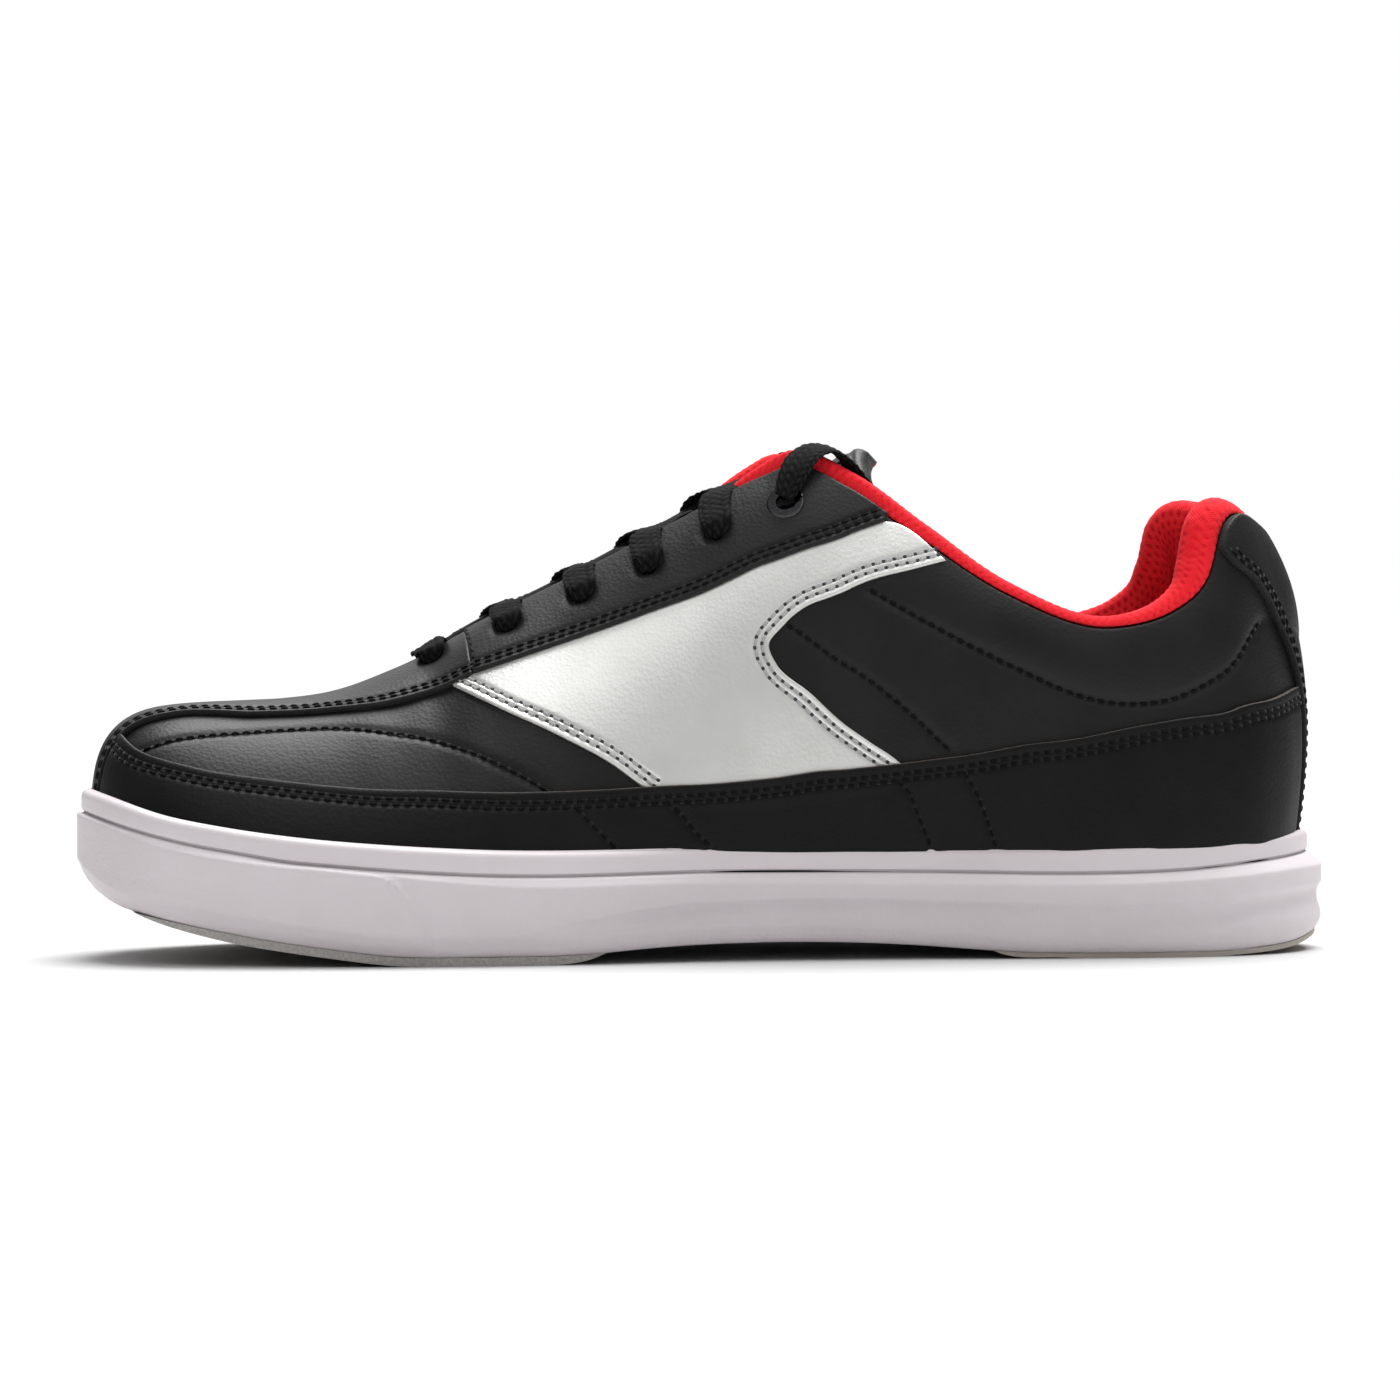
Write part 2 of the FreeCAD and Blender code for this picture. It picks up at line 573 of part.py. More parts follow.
# the roll round the topline, all as (s, value): how far its middle stands above the leather's edge,
# its radius, and how upright that rise is
ROLL_RISE = [(0.60, 0.5), (0.615, 0.8), (0.640, 4.0), (0.665, 4.0), (0.695, 3.4), (0.72, 2.2), (0.745, 1.2),
             (0.80, 0.7), (0.88, 0.5), (0.92, 1.4), (0.945, 2.8), (0.962, 2.2), (0.978, 0.8), (1.0, 0.6)]
ROLL_RADIUS = [(0.60, 2.2), (0.745, 2.2), (0.80, 2.4), (0.88, 2.6), (0.92, 3.8), (0.945, 4.4), (0.962, 4.2),
               (0.978, 3.7), (1.0, 3.6)]
ROLL_UPRIGHT = [(0.60, 0.6), (0.68, 0.6), (0.74, 0.2), (0.80, 0.0), (1.0, 0.0)]
ROLL_START = 0.35
FOAM_TOP = 0.93
FOAM_GAP = 1.6
COLLAR_GAP = 1.75


def padding(r, t):
    """Padding thickness at a place; it thins out towards the lower seam."""
    full = track(PADDING, min(r, 2 - r))
    return full * (0.25 + 0.75 * math.sin(math.pi / 2 * (t - COLLAR_LOW_T) / (1 - COLLAR_LOW_T)))


def collar_section(r, depth):
    """Points of the lining from the leather's edge, over the roll and down the inside of the shoe."""
    place = min(r, 2 - r)
    head = point(r, 1.0)
    out = normal(r, 1.0)
    rise = out.cross(point(r + 0.001, 1.0) - point(r - 0.001, 1.0))
    rise.normalize()
    if rise.z < 0:
        rise = rise * -1
    upright = track(ROLL_UPRIGHT, place)
    lift = rise * (1 - upright) + V(0, 0, 1) * upright
    lift.normalize()
    radius = track(ROLL_RADIUS, place)
    centre = head + lift * track(ROLL_RISE, place) - out * (radius + 0.1)
    places = [head + lift * ROLL_START - out * (0.1 + depth)]
    for angle in (15, 45, 75, 105, 135, 165):
        turn = math.radians(angle)
        places.append(centre + (out * math.cos(turn) + rise * math.sin(turn)) * (radius - depth))
    for t in (0.95, 0.88, 0.80, 0.72, COLLAR_LOW_T):
        places.append(layer(r, t, -(COLLAR_GAP + padding(r, t) + CLOTH - depth)))
    return places


def collar_lining():
    stations = [mix(COLLAR_START, 2 - COLLAR_START, share) for share in spread(61)]
    outer = [collar_section(r, 0.0) for r in stations]
    inner = [collar_section(r, CLOTH) for r in stations]
    return slab(outer, inner)


def collar_foam():
    outer, inner = [], []
    for r in [mix(COLLAR_START + 0.005, 1.995 - COLLAR_START, share) for share in spread(51)]:
        heights = [mix(COLLAR_LOW_T + 0.02, FOAM_TOP, share) for share in spread(7)]
        outer.append([layer(r, t, -FOAM_GAP) for t in heights])
        inner.append([layer(r, t, -(FOAM_GAP + padding(r, t))) for t in heights])
    return slab(outer, inner)


# ---- tongue -----------------------------------------------------------------------------------------
TONGUE_STATIONS = [(-60.0, 15.0), (-52.0, 18.0), (-44.0, 20.5), (-35.0, 22.5), (-26.0, 23.5), (-17.0, 24.0),
                   (-8.0, 23.5), (1.0, 22.5), (10.0, 21.0), (18.0, 19.3)]
# rows past the top of the lace opening: step back, rise, half width, fall of the sides
TONGUE_END = [(6.0, 4.8, 20.5, 6.0), (11.5, 8.8, 21.3, 9.0), (16.0, 11.4, 21.0, 12.0)]
# how far the sides of those rows lean back, as a share of their fall
TONGUE_TILT = 0.6
# depth of the tongue's face under the upper's surface, (x, mm)
TONGUE_DEPTH = [(-60.0, 6.6), (-10.0, 6.8), (8.0, 9.0), (60.0, 9.2)]
LABEL_LIFT = 1.7
TONGUE_SKIN = (0.0, 1.2)
TONGUE_FOAM = (1.3, 5.3)
TONGUE_LINING = (5.4, 6.2)
TONGUE_COLUMNS = (-1.0, -0.75, -0.5, -0.25, 0.0, 0.25, 0.5, 0.75, 1.0)


def edge_station(x):
    low, high = SLIT_START, 0.74
    for _ in range(30):
        middle = (low + high) / 2
        if point(middle, 1.0).x < x:
            low = middle
        else:
            high = middle
    return low


def tongue_height(x, y):
    """Height of the upper over (x, y), with the lace opening bridged by a shallow arch."""
    s = edge_station(x)
    medial, lateral = point(s, 1.0), point(2 - s, 1.0)
    if medial.y < y < lateral.y:
        middle = (medial.y + lateral.y) / 2
        half = (lateral.y - medial.y) / 2
        arch = 0.25 * math.tan(math.radians(track(SLOPE, s))) * half
        return medial.z + arch * (1 - ((y - middle) / half) ** 2)
    side = -1 if y <= medial.y else 1
    r, t = locate(lambda p: (p.x - x, p.y - y), s if side < 0 else 2 - s, 0.97, side)
    return point(r, t).z


def tongue_rows():
    rows = []
    for x, half in TONGUE_STATIONS:
        middle = track(MIDDLE, x)
        rows.append([V(x, middle + half * v, tongue_height(x, middle + half * v)) for v in TONGUE_COLUMNS])
    last = rows[-1]
    centre = last[len(last) // 2]
    for step, rise, half, fall in TONGUE_END:
        sags = [fall * v * v for v in TONGUE_COLUMNS]
        rows.append([centre + V(step + TONGUE_TILT * sag, half * v, rise - sag)
                     for v, sag in zip(TONGUE_COLUMNS, sags)])
    return rows


def tongue_layer(between):
    rows = tongue_rows()
    grids = []
    for distance in between:
        grid = []
        for i, row in enumerate(rows):
            before, after = rows[max(i - 1, 0)], rows[min(i + 1, len(rows) - 1)]
            line = []
            for j, place in enumerate(row):
                along = after[j] - before[j]
                across = row[min(j + 1, len(row) - 1)] - row[max(j - 1, 0)]
                up = along.cross(across)
                up.normalize()
                line.append(place - up * (track(TONGUE_DEPTH, place.x) + distance))
            grid.append(line)
        grids.append(grid)
    return slab(*grids)


def tongue_label():
    """Blank woven patch near the top of the tongue's face."""
    rows = tongue_rows()
    centre = rows[-3][4]
    plate = Part.makeBox(12.0, 20.0, 0.6, V(-4.0, -10.0, 0))
    plate.rotate(V(0, 0, 0), V(0, 1, 0), -13.0)
    plate.translate(centre - V(0, 0, track(TONGUE_DEPTH, centre.x) - LABEL_LIFT))
    return plate


# ---- eyelet rings -----------------------------------------------------------------------------------
def eyelet_ring(side):
    r, t = mirrored([EYELETS[-1]], side)[0]
    axis = normal(r, t)
    flange_radius, flange_thick = RING_FLANGE
    barrel_radius, bore_radius = RING_BARREL
    face = point(r, t) + axis * (OVERLAY[1] + 0.1)
    flange = Part.makeCylinder(flange_radius, flange_thick, face, axis)
    flange = flange.makeFillet(flange_thick * 0.45, [flange.Edges[0]])
    barrel = Part.makeCylinder(barrel_radius, 4.6, face - axis * 4.6, axis)
    bore = Part.makeCylinder(bore_radius, 8.0, face - axis * 6.0, axis)
    return flange.fuse(barrel).cut(bore).removeSplitter()


# ---- sole -------------------------------------------------------------------------------------------
BLOCK_HALF = 80.0
BLOCK_TOP = 62.0
BLOCK_LOW = -6.0
CAVITY_LEVELS = (13.0, 20.0, 26.0, 32.0, 40.0, 46.0)
CAVITY_DISTANCE = 1.6
RING_SAMPLES = 44


def inset(points, distance):
    """Closed outline moved inwards; the points run anticlockwise seen from above."""
    moved = []
    for i, (x, y) in enumerate(points):
        before, after = points[i - 1], points[(i + 1) % len(points)]
        along = V(after[0] - before[0], after[1] - before[1], 0)
        along.normalize()
        moved.append((x - along.y * distance, y + along.x * distance))
    return moved


def outline(points, z):
    curve = Part.BSplineCurve()
    curve.interpolate(Points=[V(x, y, z) for x, y in points], PeriodicFlag=True)
    return Part.Wire([curve.toShape()])


def column_solid(points):
    """Upright prism over a closed outline."""
    face = Part.Face(outline(points, BLOCK_LOW))
    return face.extrude(V(0, 0, BLOCK_TOP - BLOCK_LOW))


def profile_edge(points):
    places = [V(x, -BLOCK_HALF, z) for x, z in points]
    if len(places) == 2:
        return Part.LineSegment(*places).toShape()
    curve = Part.BSplineCurve()
    curve.interpolate(places)
    return curve.toShape()


def region(profile, closing):
    """Solid between a side profile and the level z = closing, as wide as the whole shoe."""
    first, last = profile[0][0], profile[-1][-1]
    corners = [(last[0], closing), (first[0], closing)]
    edges = [profile_edge(points) for points in profile]
    for a, b in ((last, corners[0]), (corners[0], corners[1]), (corners[1], first)):
        edges.append(profile_edge([a, b]))
    return Part.Face(Part.Wire(edges)).extrude(V(0, 2 * BLOCK_HALF, 0))


def raised(profile, height):
    return [[(x, z + height) for x, z in points] for points in profile]


def foot_outline():
    """Plan of the upper's lower edge, anticlockwise seen from above."""
    return [(point(r, 0.0).x, point(r, 0.0).y) for r in [2 * i / RING_SAMPLES for i in range(RING_SAMPLES)]]


def level_place(r, z):
    """Plan position of the space the upper takes in the cup, at height z."""
    low, high = 0.0, 0.6
    if layer(r, 0.0, CAVITY_DISTANCE).z > z:
        high = 0.0
    for _ in range(24):
        middle = (low + high) / 2
        if layer(r, middle, CAVITY_DISTANCE).z < z:
            low = middle
        else:
            high = middle
    place = layer(r, low, CAVITY_DISTANCE)
    return place.x, place.y


def cavity():
    stations = [2 * i / RING_SAMPLES for i in range(RING_SAMPLES)]
    wires = [outline([level_place(r, z) for r in stations], z) for z in CAVITY_LEVELS]
    return Part.makeLoft(wires, True, True).common(region(CUP_FLOOR, BLOCK_TOP))


def cupsole():
    plan = SOLE_MEDIAL + SOLE_LATERAL
    body = Part.makeLoft([outline(inset(plan, step), z) for z, step in WALL], True, True)
    body = body.common(region(SOLE_BOTTOM, BLOCK_TOP)).common(region([RIM_TOP], BLOCK_LOW))
    return body.cut(cavity())


def tread(profile, step):
    """Layer glued under the cup sole, down to the given underside profile."""
    plan = inset(SOLE_MEDIAL + SOLE_LATERAL, step)
    return column_solid(plan).common(region(profile, BLOCK_TOP)).cut(region(SOLE_BOTTOM, BLOCK_TOP))


def floor_layer(between, step):
    """Sheet lying in the cup, between two heights above its floor."""
    low, high = between
    sheet = column_solid(inset(foot_outline(), step)).common(region(raised(CUP_FLOOR, low), BLOCK_TOP))
    return sheet.cut(region(raised(CUP_FLOOR, high), BLOCK_TOP))


def shank():
    length, width, thick = SHANK
    bar = Part.makeBox(length, width, thick, V(*SHANK_CORNER))
    upright = [edge for edge in bar.Edges if abs(edge.BoundBox.ZLength - thick) < 0.01]
    return bar.makeFillet(width * 0.45, upright)


def filler():
    x, y, z = SHANK_CORNER
    length, width, thick = SHANK
    room = 0.1
    pocket = Part.makeBox(length + 2 * room, width + 2 * room, BLOCK_TOP, V(x - room, y - room, z - room))
    return floor_layer(FILLER, FILLER_INSET).cut(pocket)


# ---- lace -------------------------------------------------------------------------------------------
LACE_THICK = 1.5
# depth of the lace under each eyelet, and where it dips under the opening's edge on the way there
LACE_DEPTH = [4.3, 4.3, 4.3, 4.3, 4.6, 6.6]
LACE_DIP = [2.4, 2.4, 2.4, 2.4, 2.6, 5.9]


def strap(stations):
    """Flat band through (centre, flat direction, width) stations, as a closed faceted solid."""
    corners = []
    last_wide = None
    for i, (centre, flat, width) in enumerate(stations):
        before, after = stations[max(i - 1, 0)][0], stations[min(i + 1, len(stations) - 1)][0]
        along = after - before
        along.normalize()
        wide = flat.cross(along)
        wide.normalize()
        if last_wide is not None and wide.dot(last_wide) < 0:
            wide = wide * -1
        last_wide = wide
        thick = wide.cross(along)
        thick.normalize()
        half_wide, half_thick = wide * (width / 2), thick * (LACE_THICK / 2)
        corners.append([centre + half_wide + half_thick, centre - half_wide + half_thick,
                        centre - half_wide - half_thick, centre + half_wide - half_thick])
    faces = []
    for a, b in zip(corners, corners[1:]):
        for k in range(4):
            n = (k + 1) % 4
            faces.append(triangle(a[k], a[n], b[n]))
            faces.append(triangle(a[k], b[n], b[k]))
    for end in (corners[0], corners[-1]):
        faces.append(triangle(end[0], end[1], end[2]))
        faces.append(triangle(end[0], end[2], end[3]))
    return closed(faces)


def triangle(a, b, c):
    return Part.Face(Part.makePolygon([a, b, c, a]))


def eyelet_stations(index, side):
    """Lace coming up through one eyelet: under it, in it, at its mouth."""
    r, t = mirrored([EYELETS[index]], side)[0]
    up = normal(r, t)
    away = point(r, t - 0.02) - point(r, t)
    away.normalize()
    return [(layer(r, t, -LACE_DEPTH[index]), up - away, 4.4), (layer(r, t, -1.2), away, 3.6),
            (layer(r, t, 1.6), away, 3.6)]


def above_eyelet(index, side):
    r, t = mirrored([EYELETS[index]], side)[0]
    away = point(r, t - 0.02) - point(r, t)
    away.normalize()
    return layer(r, t, 2.9), away + normal(r, t), 4.6


def crossing_stations(index, side, over):
    """Lace from above one eyelet, across the opening, to below the next eyelet of the other side."""
    s, t = EYELETS[index]
    s_next, t_next = EYELETS[index + 1]
    near = lambda ds, place_t, distance: layer(*mirrored([(s + ds, place_t)], side)[0], distance)
    far = lambda ds, place_t, distance: layer(*mirrored([(s_next + ds, place_t)], -side)[0], distance)
    near_up = normal(*mirrored([(s + 0.012, 0.96)], side)[0])
    far_up = normal(*mirrored([(s_next - 0.010, 0.96)], -side)[0])
    s_middle = (s + s_next) / 2 + 0.004
    medial, lateral = point(s_middle, 1.0), point(2 - s_middle, 1.0)
    up = normal(s_middle, 1.0) + normal(2 - s_middle, 1.0)
    up.normalize()
    middle = (medial + lateral) * 0.5 + up * (2.1 if over else 0.2)
    return [(near(0.004, 0.94, 2.6), near_up, 7.0), (near(0.008, 1.0, 2.7), near_up, 7.4),
            (middle, up, 7.5),
            (far(-0.014, 1.04, -LACE_DIP[index + 1]), far_up, 7.2),
            (far(-0.009, 0.955, -LACE_DEPTH[index + 1]), far_up, 6.0)]


def half_lace(side):
    """Stations from the first eyelet of one side, zigzag up to the last."""
    stations = []
    last = len(EYELETS) - 1
    for index in range(last + 1):
        stations += eyelet_stations(index, side)
        if index < last:
            stations.append(above_eyelet(index, side))
            stations += crossing_stations(index, side, side < 0)
            side = -side
    return stations


def lace():
    s, t = EYELETS[0]
    up = V(0, 0, 1)
    bar = [(layer(s + 0.004, 0.97, -4.3), up, 6.0), (layer(2 - s - 0.004, 0.97, -4.3), up, 6.0)]
    return strap(list(reversed(half_lace(-1))) + bar + half_lace(1))


# ---- free lace ends ---------------------------------------------------------------------------------
LACE_ROUND = 1.9
AGLET_RADIUS = 1.7
AGLET_LENGTH = 18.0
# from above the top eyelet, over the collar, down inside the shoe and along the sockliner
LACE_ROUTE = {
    "medial": [(14.9, -28.7, 108.2), (16.8, -27.6, 113.4), (20.8, -23.4, 118.6), (26.0, -19.4, 120.4),
               (31.1, -17.65, 117.75), (35.2, -17.35, 110.4), (38.5, -18.6, 100.5), (42.5, -20.6, 89.5),
               (47.0, -23.4, 78.0), (51.5, -26.8, 66.5), (56.0, -29.6, 56.0), (60.5, -31.0, 45.5),
               (66.5, -30.8, 35.5), (75.0, -29.0, 28.4), (85.5, -27.6, 26.9), (97.0, -25.6, 26.9)],
    "lateral": [(14.8, 28.7, 108.2), (17.2, 27.8, 113.6), (21.8, 24.0, 118.2), (27.4, 20.0, 119.6),
                (32.2, 17.8, 116.4), (35.6, 17.2, 108.8), (39.4, 18.8, 99.0), (43.6, 21.0, 87.8),
                (48.4, 24.4, 75.5), (53.0, 27.6, 63.5), (57.5, 30.2, 52.5), (62.0, 31.2, 42.0),
                (68.0, 30.4, 33.0), (76.0, 28.8, 27.6), (86.0, 27.8, 26.9), (97.5, 26.8, 26.9)],
}


def rounded_path(points):
    """Wire of straight runs joined by tangent arcs, and its tightest radius."""
    places = [V(*p) for p in points]
    edges = []
    start = places[0]
    tightest = 1e9
    for before, corner, after in zip(places, places[1:], places[2:]):
        back = before - corner
        ahead = after - corner
        shorter = min(back.Length, ahead.Length)
        back.normalize()
        ahead.normalize()
        half_turn = (math.pi - back.getAngle(ahead)) / 2
        cut = 0.45 * shorter
        radius = cut / math.tan(half_turn)
        tightest = min(tightest, radius)
        enter, leave = corner + back * cut, corner + ahead * cut
        inward = back + ahead
        inward.normalize()
        middle = corner + inward * (radius / math.cos(half_turn) - radius)
        edges.append(Part.LineSegment(start, enter).toShape())
        edges.append(Part.Arc(enter, middle, leave).toShape())
        start = leave
    edges.append(Part.LineSegment(start, places[-1]).toShape())
    return Part.Wire(edges), tightest


def lace_end(name):
    path, tightest = rounded_path(LACE_ROUTE[name])
    start, ahead = V(*LACE_ROUTE[name][0]), V(*LACE_ROUTE[name][1])
    ring_edge = Part.makeCircle(LACE_ROUND, start, ahead - start)
    tube = path.makePipeShell([Part.Wire(ring_edge)], True, False)
    expected = math.pi * LACE_ROUND ** 2 * path.Length
    print(name, "lace end", round(path.Length, 1), "mm, tightest radius", round(tightest, 1),
          "volume share", round(tube.Volume / expected, 4))
    return tube


def aglet(name):
    before, tip = V(*LACE_ROUTE[name][-2]), V(*LACE_ROUTE[name][-1])
    along = tip - before
    along.normalize()
    return Part.makeCylinder(AGLET_RADIUS, AGLET_LENGTH, tip, along)


# ---- all nodes --------------------------------------------------------------------------------------
def solids_only(shape):
    solids = shape.Solids
    return solids[0] if len(solids) == 1 else Part.makeCompound(solids)


def nodes():
    parts = {
        "cupsole": cupsole(),
        "slide_pad": tread(PAD_BOTTOM, PAD_INSET),
        "heel_pad": tread(HEEL_PAD_BOTTOM, HEEL_PAD_INSET),
        "midsole_filler": filler(),
        "shank": shank(),
        "insole_board": floor_layer(BOARD, BOARD_INSET),
        "sockliner_foam": floor_layer(SOCK_FOAM, BOARD_INSET),
        "sockliner_cover": floor_layer(SOCK_COVER, BOARD_INSET),
        "vamp_strip": vamp_strip(),
        "heel_tab": heel_tab(),
        "toe_puff": toe_puff(),
        "heel_counter": heel_counter(),
        "vamp_lining": vamp_lining(),
        "tongue_face": tongue_layer(TONGUE_SKIN),
        "tongue_foam": tongue_layer(TONGUE_FOAM),
        "tongue_lining": tongue_layer(TONGUE_LINING),
        "tongue_label": tongue_label(),
        "lace": lace(),
    }
    last = len(EYELETS) - 1
    lining, foam = collar_lining(), collar_foam()
    for name, side in SIDES:
        front = base_panel(side, TOE_SEAM, SEAM_S - PANEL_GAP, LEATHER, EDGE_T)
        parts["toe_panel_" + name] = punched(front, side, range(FIRST_QUARTER_EYELET))
        rear = base_panel(side, SEAM_S, HEEL_SEAM, LEATHER, EDGE_T)
        parts["quarter_" + name] = punched(rear, side, range(FIRST_QUARTER_EYELET, last + 1))
        parts["mudguard_" + name] = guard(side)
        parts["eyestay_" + name] = punched(eyestay(side), side, range(1, last + 1))
        parts["stripe_" + name] = stripe(side)
        parts["quarter_lining_" + name] = punched(quarter_lining(side), side, range(last))
        parts["eyelet_ring_" + name] = eyelet_ring(side)
        parts["lace_end_" + name] = lace_end(name)
        parts["aglet_" + name] = aglet(name)
        lining = punched(lining, side, [last])
        foam = punched(foam, side, [last])
    parts["collar_lining"] = lining
    parts["collar_foam"] = foam
    return parts


os.makedirs("parts", exist_ok=True)
for node, shape in nodes().items():
    solid = solids_only(shape)
    print(node, "valid" if solid.isValid() else "NOT VALID", len(solid.Solids), round(solid.Volume))
    solid.exportStep("parts/" + node + ".step")
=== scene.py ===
import math

import bmesh
import bpy
import numpy as np
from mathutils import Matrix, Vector


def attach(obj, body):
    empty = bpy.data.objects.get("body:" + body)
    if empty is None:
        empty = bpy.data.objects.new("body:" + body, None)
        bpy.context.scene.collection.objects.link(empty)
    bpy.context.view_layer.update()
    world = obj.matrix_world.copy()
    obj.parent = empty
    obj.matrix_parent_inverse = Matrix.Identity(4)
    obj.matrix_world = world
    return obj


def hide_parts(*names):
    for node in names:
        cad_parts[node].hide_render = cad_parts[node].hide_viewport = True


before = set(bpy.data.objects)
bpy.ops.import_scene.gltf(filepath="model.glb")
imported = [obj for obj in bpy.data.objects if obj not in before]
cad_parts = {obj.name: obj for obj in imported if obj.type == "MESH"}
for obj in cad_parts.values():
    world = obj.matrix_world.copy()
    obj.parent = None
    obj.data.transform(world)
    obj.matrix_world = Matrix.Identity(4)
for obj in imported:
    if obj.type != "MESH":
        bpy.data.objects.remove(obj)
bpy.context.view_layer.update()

# Bowling shoe, right foot: toe to -X, inner (medial) side to -Y, ground z = 0.
# The shape code below works in millimetres; make() turns them into metres.
MM = 0.001
SHOE, TONGUE = "shoe", "tongue"
SIDES = (("medial", -1), ("lateral", 1))

# ---- camera -----------------------------------------------------------------------------------------
CAMERA_DISTANCE, CAMERA_TURN, CAMERA_RISE = 1.300, math.radians(7.0), math.radians(1.0)
CAMERA_LENS, CAMERA_SLIDE = 139.43, 0.00144
TARGET = Vector((0.0, 0.0, 0.060))


def add_camera():
    back = Vector((-math.sin(CAMERA_TURN) * math.cos(CAMERA_RISE),
                   -math.cos(CAMERA_TURN) * math.cos(CAMERA_RISE), math.sin(CAMERA_RISE)))
    data = bpy.data.cameras.new("camera")
    data.lens, data.sensor_width = CAMERA_LENS, 36.0
    data.clip_start, data.clip_end = 0.05, 20.0
    camera = bpy.data.objects.new("camera", data)
    bpy.context.scene.collection.objects.link(camera)
    camera.rotation_euler = (-back).to_track_quat("-Z", "Y").to_euler()
    right = (-back).cross(Vector((0, 0, 1))).normalized()
    camera.location = TARGET + back * CAMERA_DISTANCE - right * CAMERA_SLIDE
    bpy.context.scene.camera = camera


add_camera()


# ---- material kit -----------------------------------------------------------------------------------
class Nodes:
    """Small helper round one material's node tree."""

    def __init__(self, name, colour, roughness, **sockets):
        self.material = bpy.data.materials.new(name)
        self.material.use_nodes = True
        self.material.diffuse_color = (*colour, 1.0)
        self.tree = self.material.node_tree
        self.shader = self.tree.nodes["Principled BSDF"]
        self.shader.inputs["Base Color"].default_value = (*colour, 1.0)
        self.shader.inputs["Roughness"].default_value = roughness
        for key, value in sockets.items():
            self.shader.inputs[key.replace("_", " ")].default_value = value

    def add(self, kind, **values):
        node = self.tree.nodes.new(kind)
        for key, value in values.items():
            if key in node.inputs:
                node.inputs[key].default_value = value
            else:
                setattr(node, key, value)
        return node

    def link(self, source, target):
        self.tree.links.new(source, target)

    def place(self):
        return self.add("ShaderNodeTexCoord").outputs["Object"]

    def knit_place(self):
        return self.add("ShaderNodeUVMap", uv_map="thread").outputs["UV"]

    def noise(self, scale, detail=3.0, rough=0.55, where=None):
        node = self.add("ShaderNodeTexNoise", Scale=scale, Detail=detail, Roughness=rough)
        self.link(where or self.place(), node.inputs["Vector"])
        return node.outputs["Fac"]

    def cells(self, scale, feature="F1", where=None, randomness=1.0):
        node = self.add("ShaderNodeTexVoronoi", Scale=scale, Randomness=randomness)
        node.feature = feature
        self.link(where or self.place(), node.inputs["Vector"])
        return node.outputs["Distance"]

    def maths(self, kind, a, b=None):
        node = self.add("ShaderNodeMath")
        node.operation = kind
        for socket, value in zip(node.inputs, (a, b)):
            if value is None:
                continue
            if isinstance(value, (int, float)):
                socket.default_value = value
            else:
                self.link(value, socket)
        return node.outputs[0]

    def ramp(self, source, stops):
        node = self.add("ShaderNodeValToRGB")
        elements = node.color_ramp.elements
        while len(elements) < len(stops):
            elements.new(0.5)
        for element, (where, colour) in zip(elements, stops):
            element.position = where
            element.color = (*colour, 1.0)
        self.link(source, node.inputs["Fac"])
        return node.outputs["Color"]

    def spread(self, source, low, high):
        node = self.add("ShaderNodeMapRange")
        node.inputs["To Min"].default_value = low
        node.inputs["To Max"].default_value = high
        self.link(source, node.inputs["Value"])
        return node.outputs["Result"]

    def bump(self, *layers):
        """Stacked bumps, each (height, millimetres)."""
        last = None
        for height, depth in layers:
            node = self.add("ShaderNodeBump", Strength=1.0, Distance=depth * MM)
            self.link(height, node.inputs["Height"])
            if last is not None:
                self.link(last, node.inputs["Normal"])
            last = node.outputs["Normal"]
        self.link(last, self.shader.inputs["Normal"])


def leather(name, dark, light, rough, grain=1100.0, depth=0.055, **sockets):
    n = Nodes(name, light, rough, **sockets)
    pebble = n.cells(grain, "F1")
    fine = n.noise(3200.0, 4.0)
    mottle = n.noise(70.0, 3.0)
    n.link(n.ramp(mottle, [(0.30, dark), (0.70, light)]), n.shader.inputs["Base Color"])
    n.link(n.spread(mottle, rough - 0.05, rough + 0.06), n.shader.inputs["Roughness"])
    n.bump((pebble, depth), (fine, depth * 0.4))
    return n.material


def silver_leather():
    n = Nodes("silver_leather", (0.79, 0.79, 0.765), 0.42, Metallic=0.78)
    mottle = n.noise(90.0, 4.0)
    n.link(n.ramp(mottle, [(0.30, (0.76, 0.76, 0.735)), (0.70, (0.82, 0.82, 0.795))]), n.shader.inputs["Base Color"])
    n.link(n.spread(n.noise(2600.0, 2.0), 0.38, 0.48), n.shader.inputs["Roughness"])
    n.bump((n.cells(1100.0, "F1"), 0.035), (n.noise(3400.0, 4.0), 0.03))
    return n.material


def fibre_edge(name, dark, light):
    """Raw cut edge of a leather panel."""
    n = Nodes(name, light, 0.9)
    fibres = n.noise(1500.0, 5.0, 0.7)
    n.link(n.ramp(fibres, [(0.35, dark), (0.65, light)]), n.shader.inputs["Base Color"])
    n.bump((fibres, 0.20))
    return n.material


def thread(name, colour, shine=0.55):
    n = Nodes(name, colour, shine, Specular_IOR_Level=0.2)
    twist = n.add("ShaderNodeTexWave", Scale=900.0, Distortion=2.0)
    n.link(n.place(), twist.inputs["Vector"])
    n.link(n.ramp(twist.outputs["Fac"], [(0.0, tuple(c * 0.6 for c in colour)), (1.0, colour)]),
           n.shader.inputs["Base Color"])
    n.bump((twist.outputs["Fac"], 0.08))
    return n.material


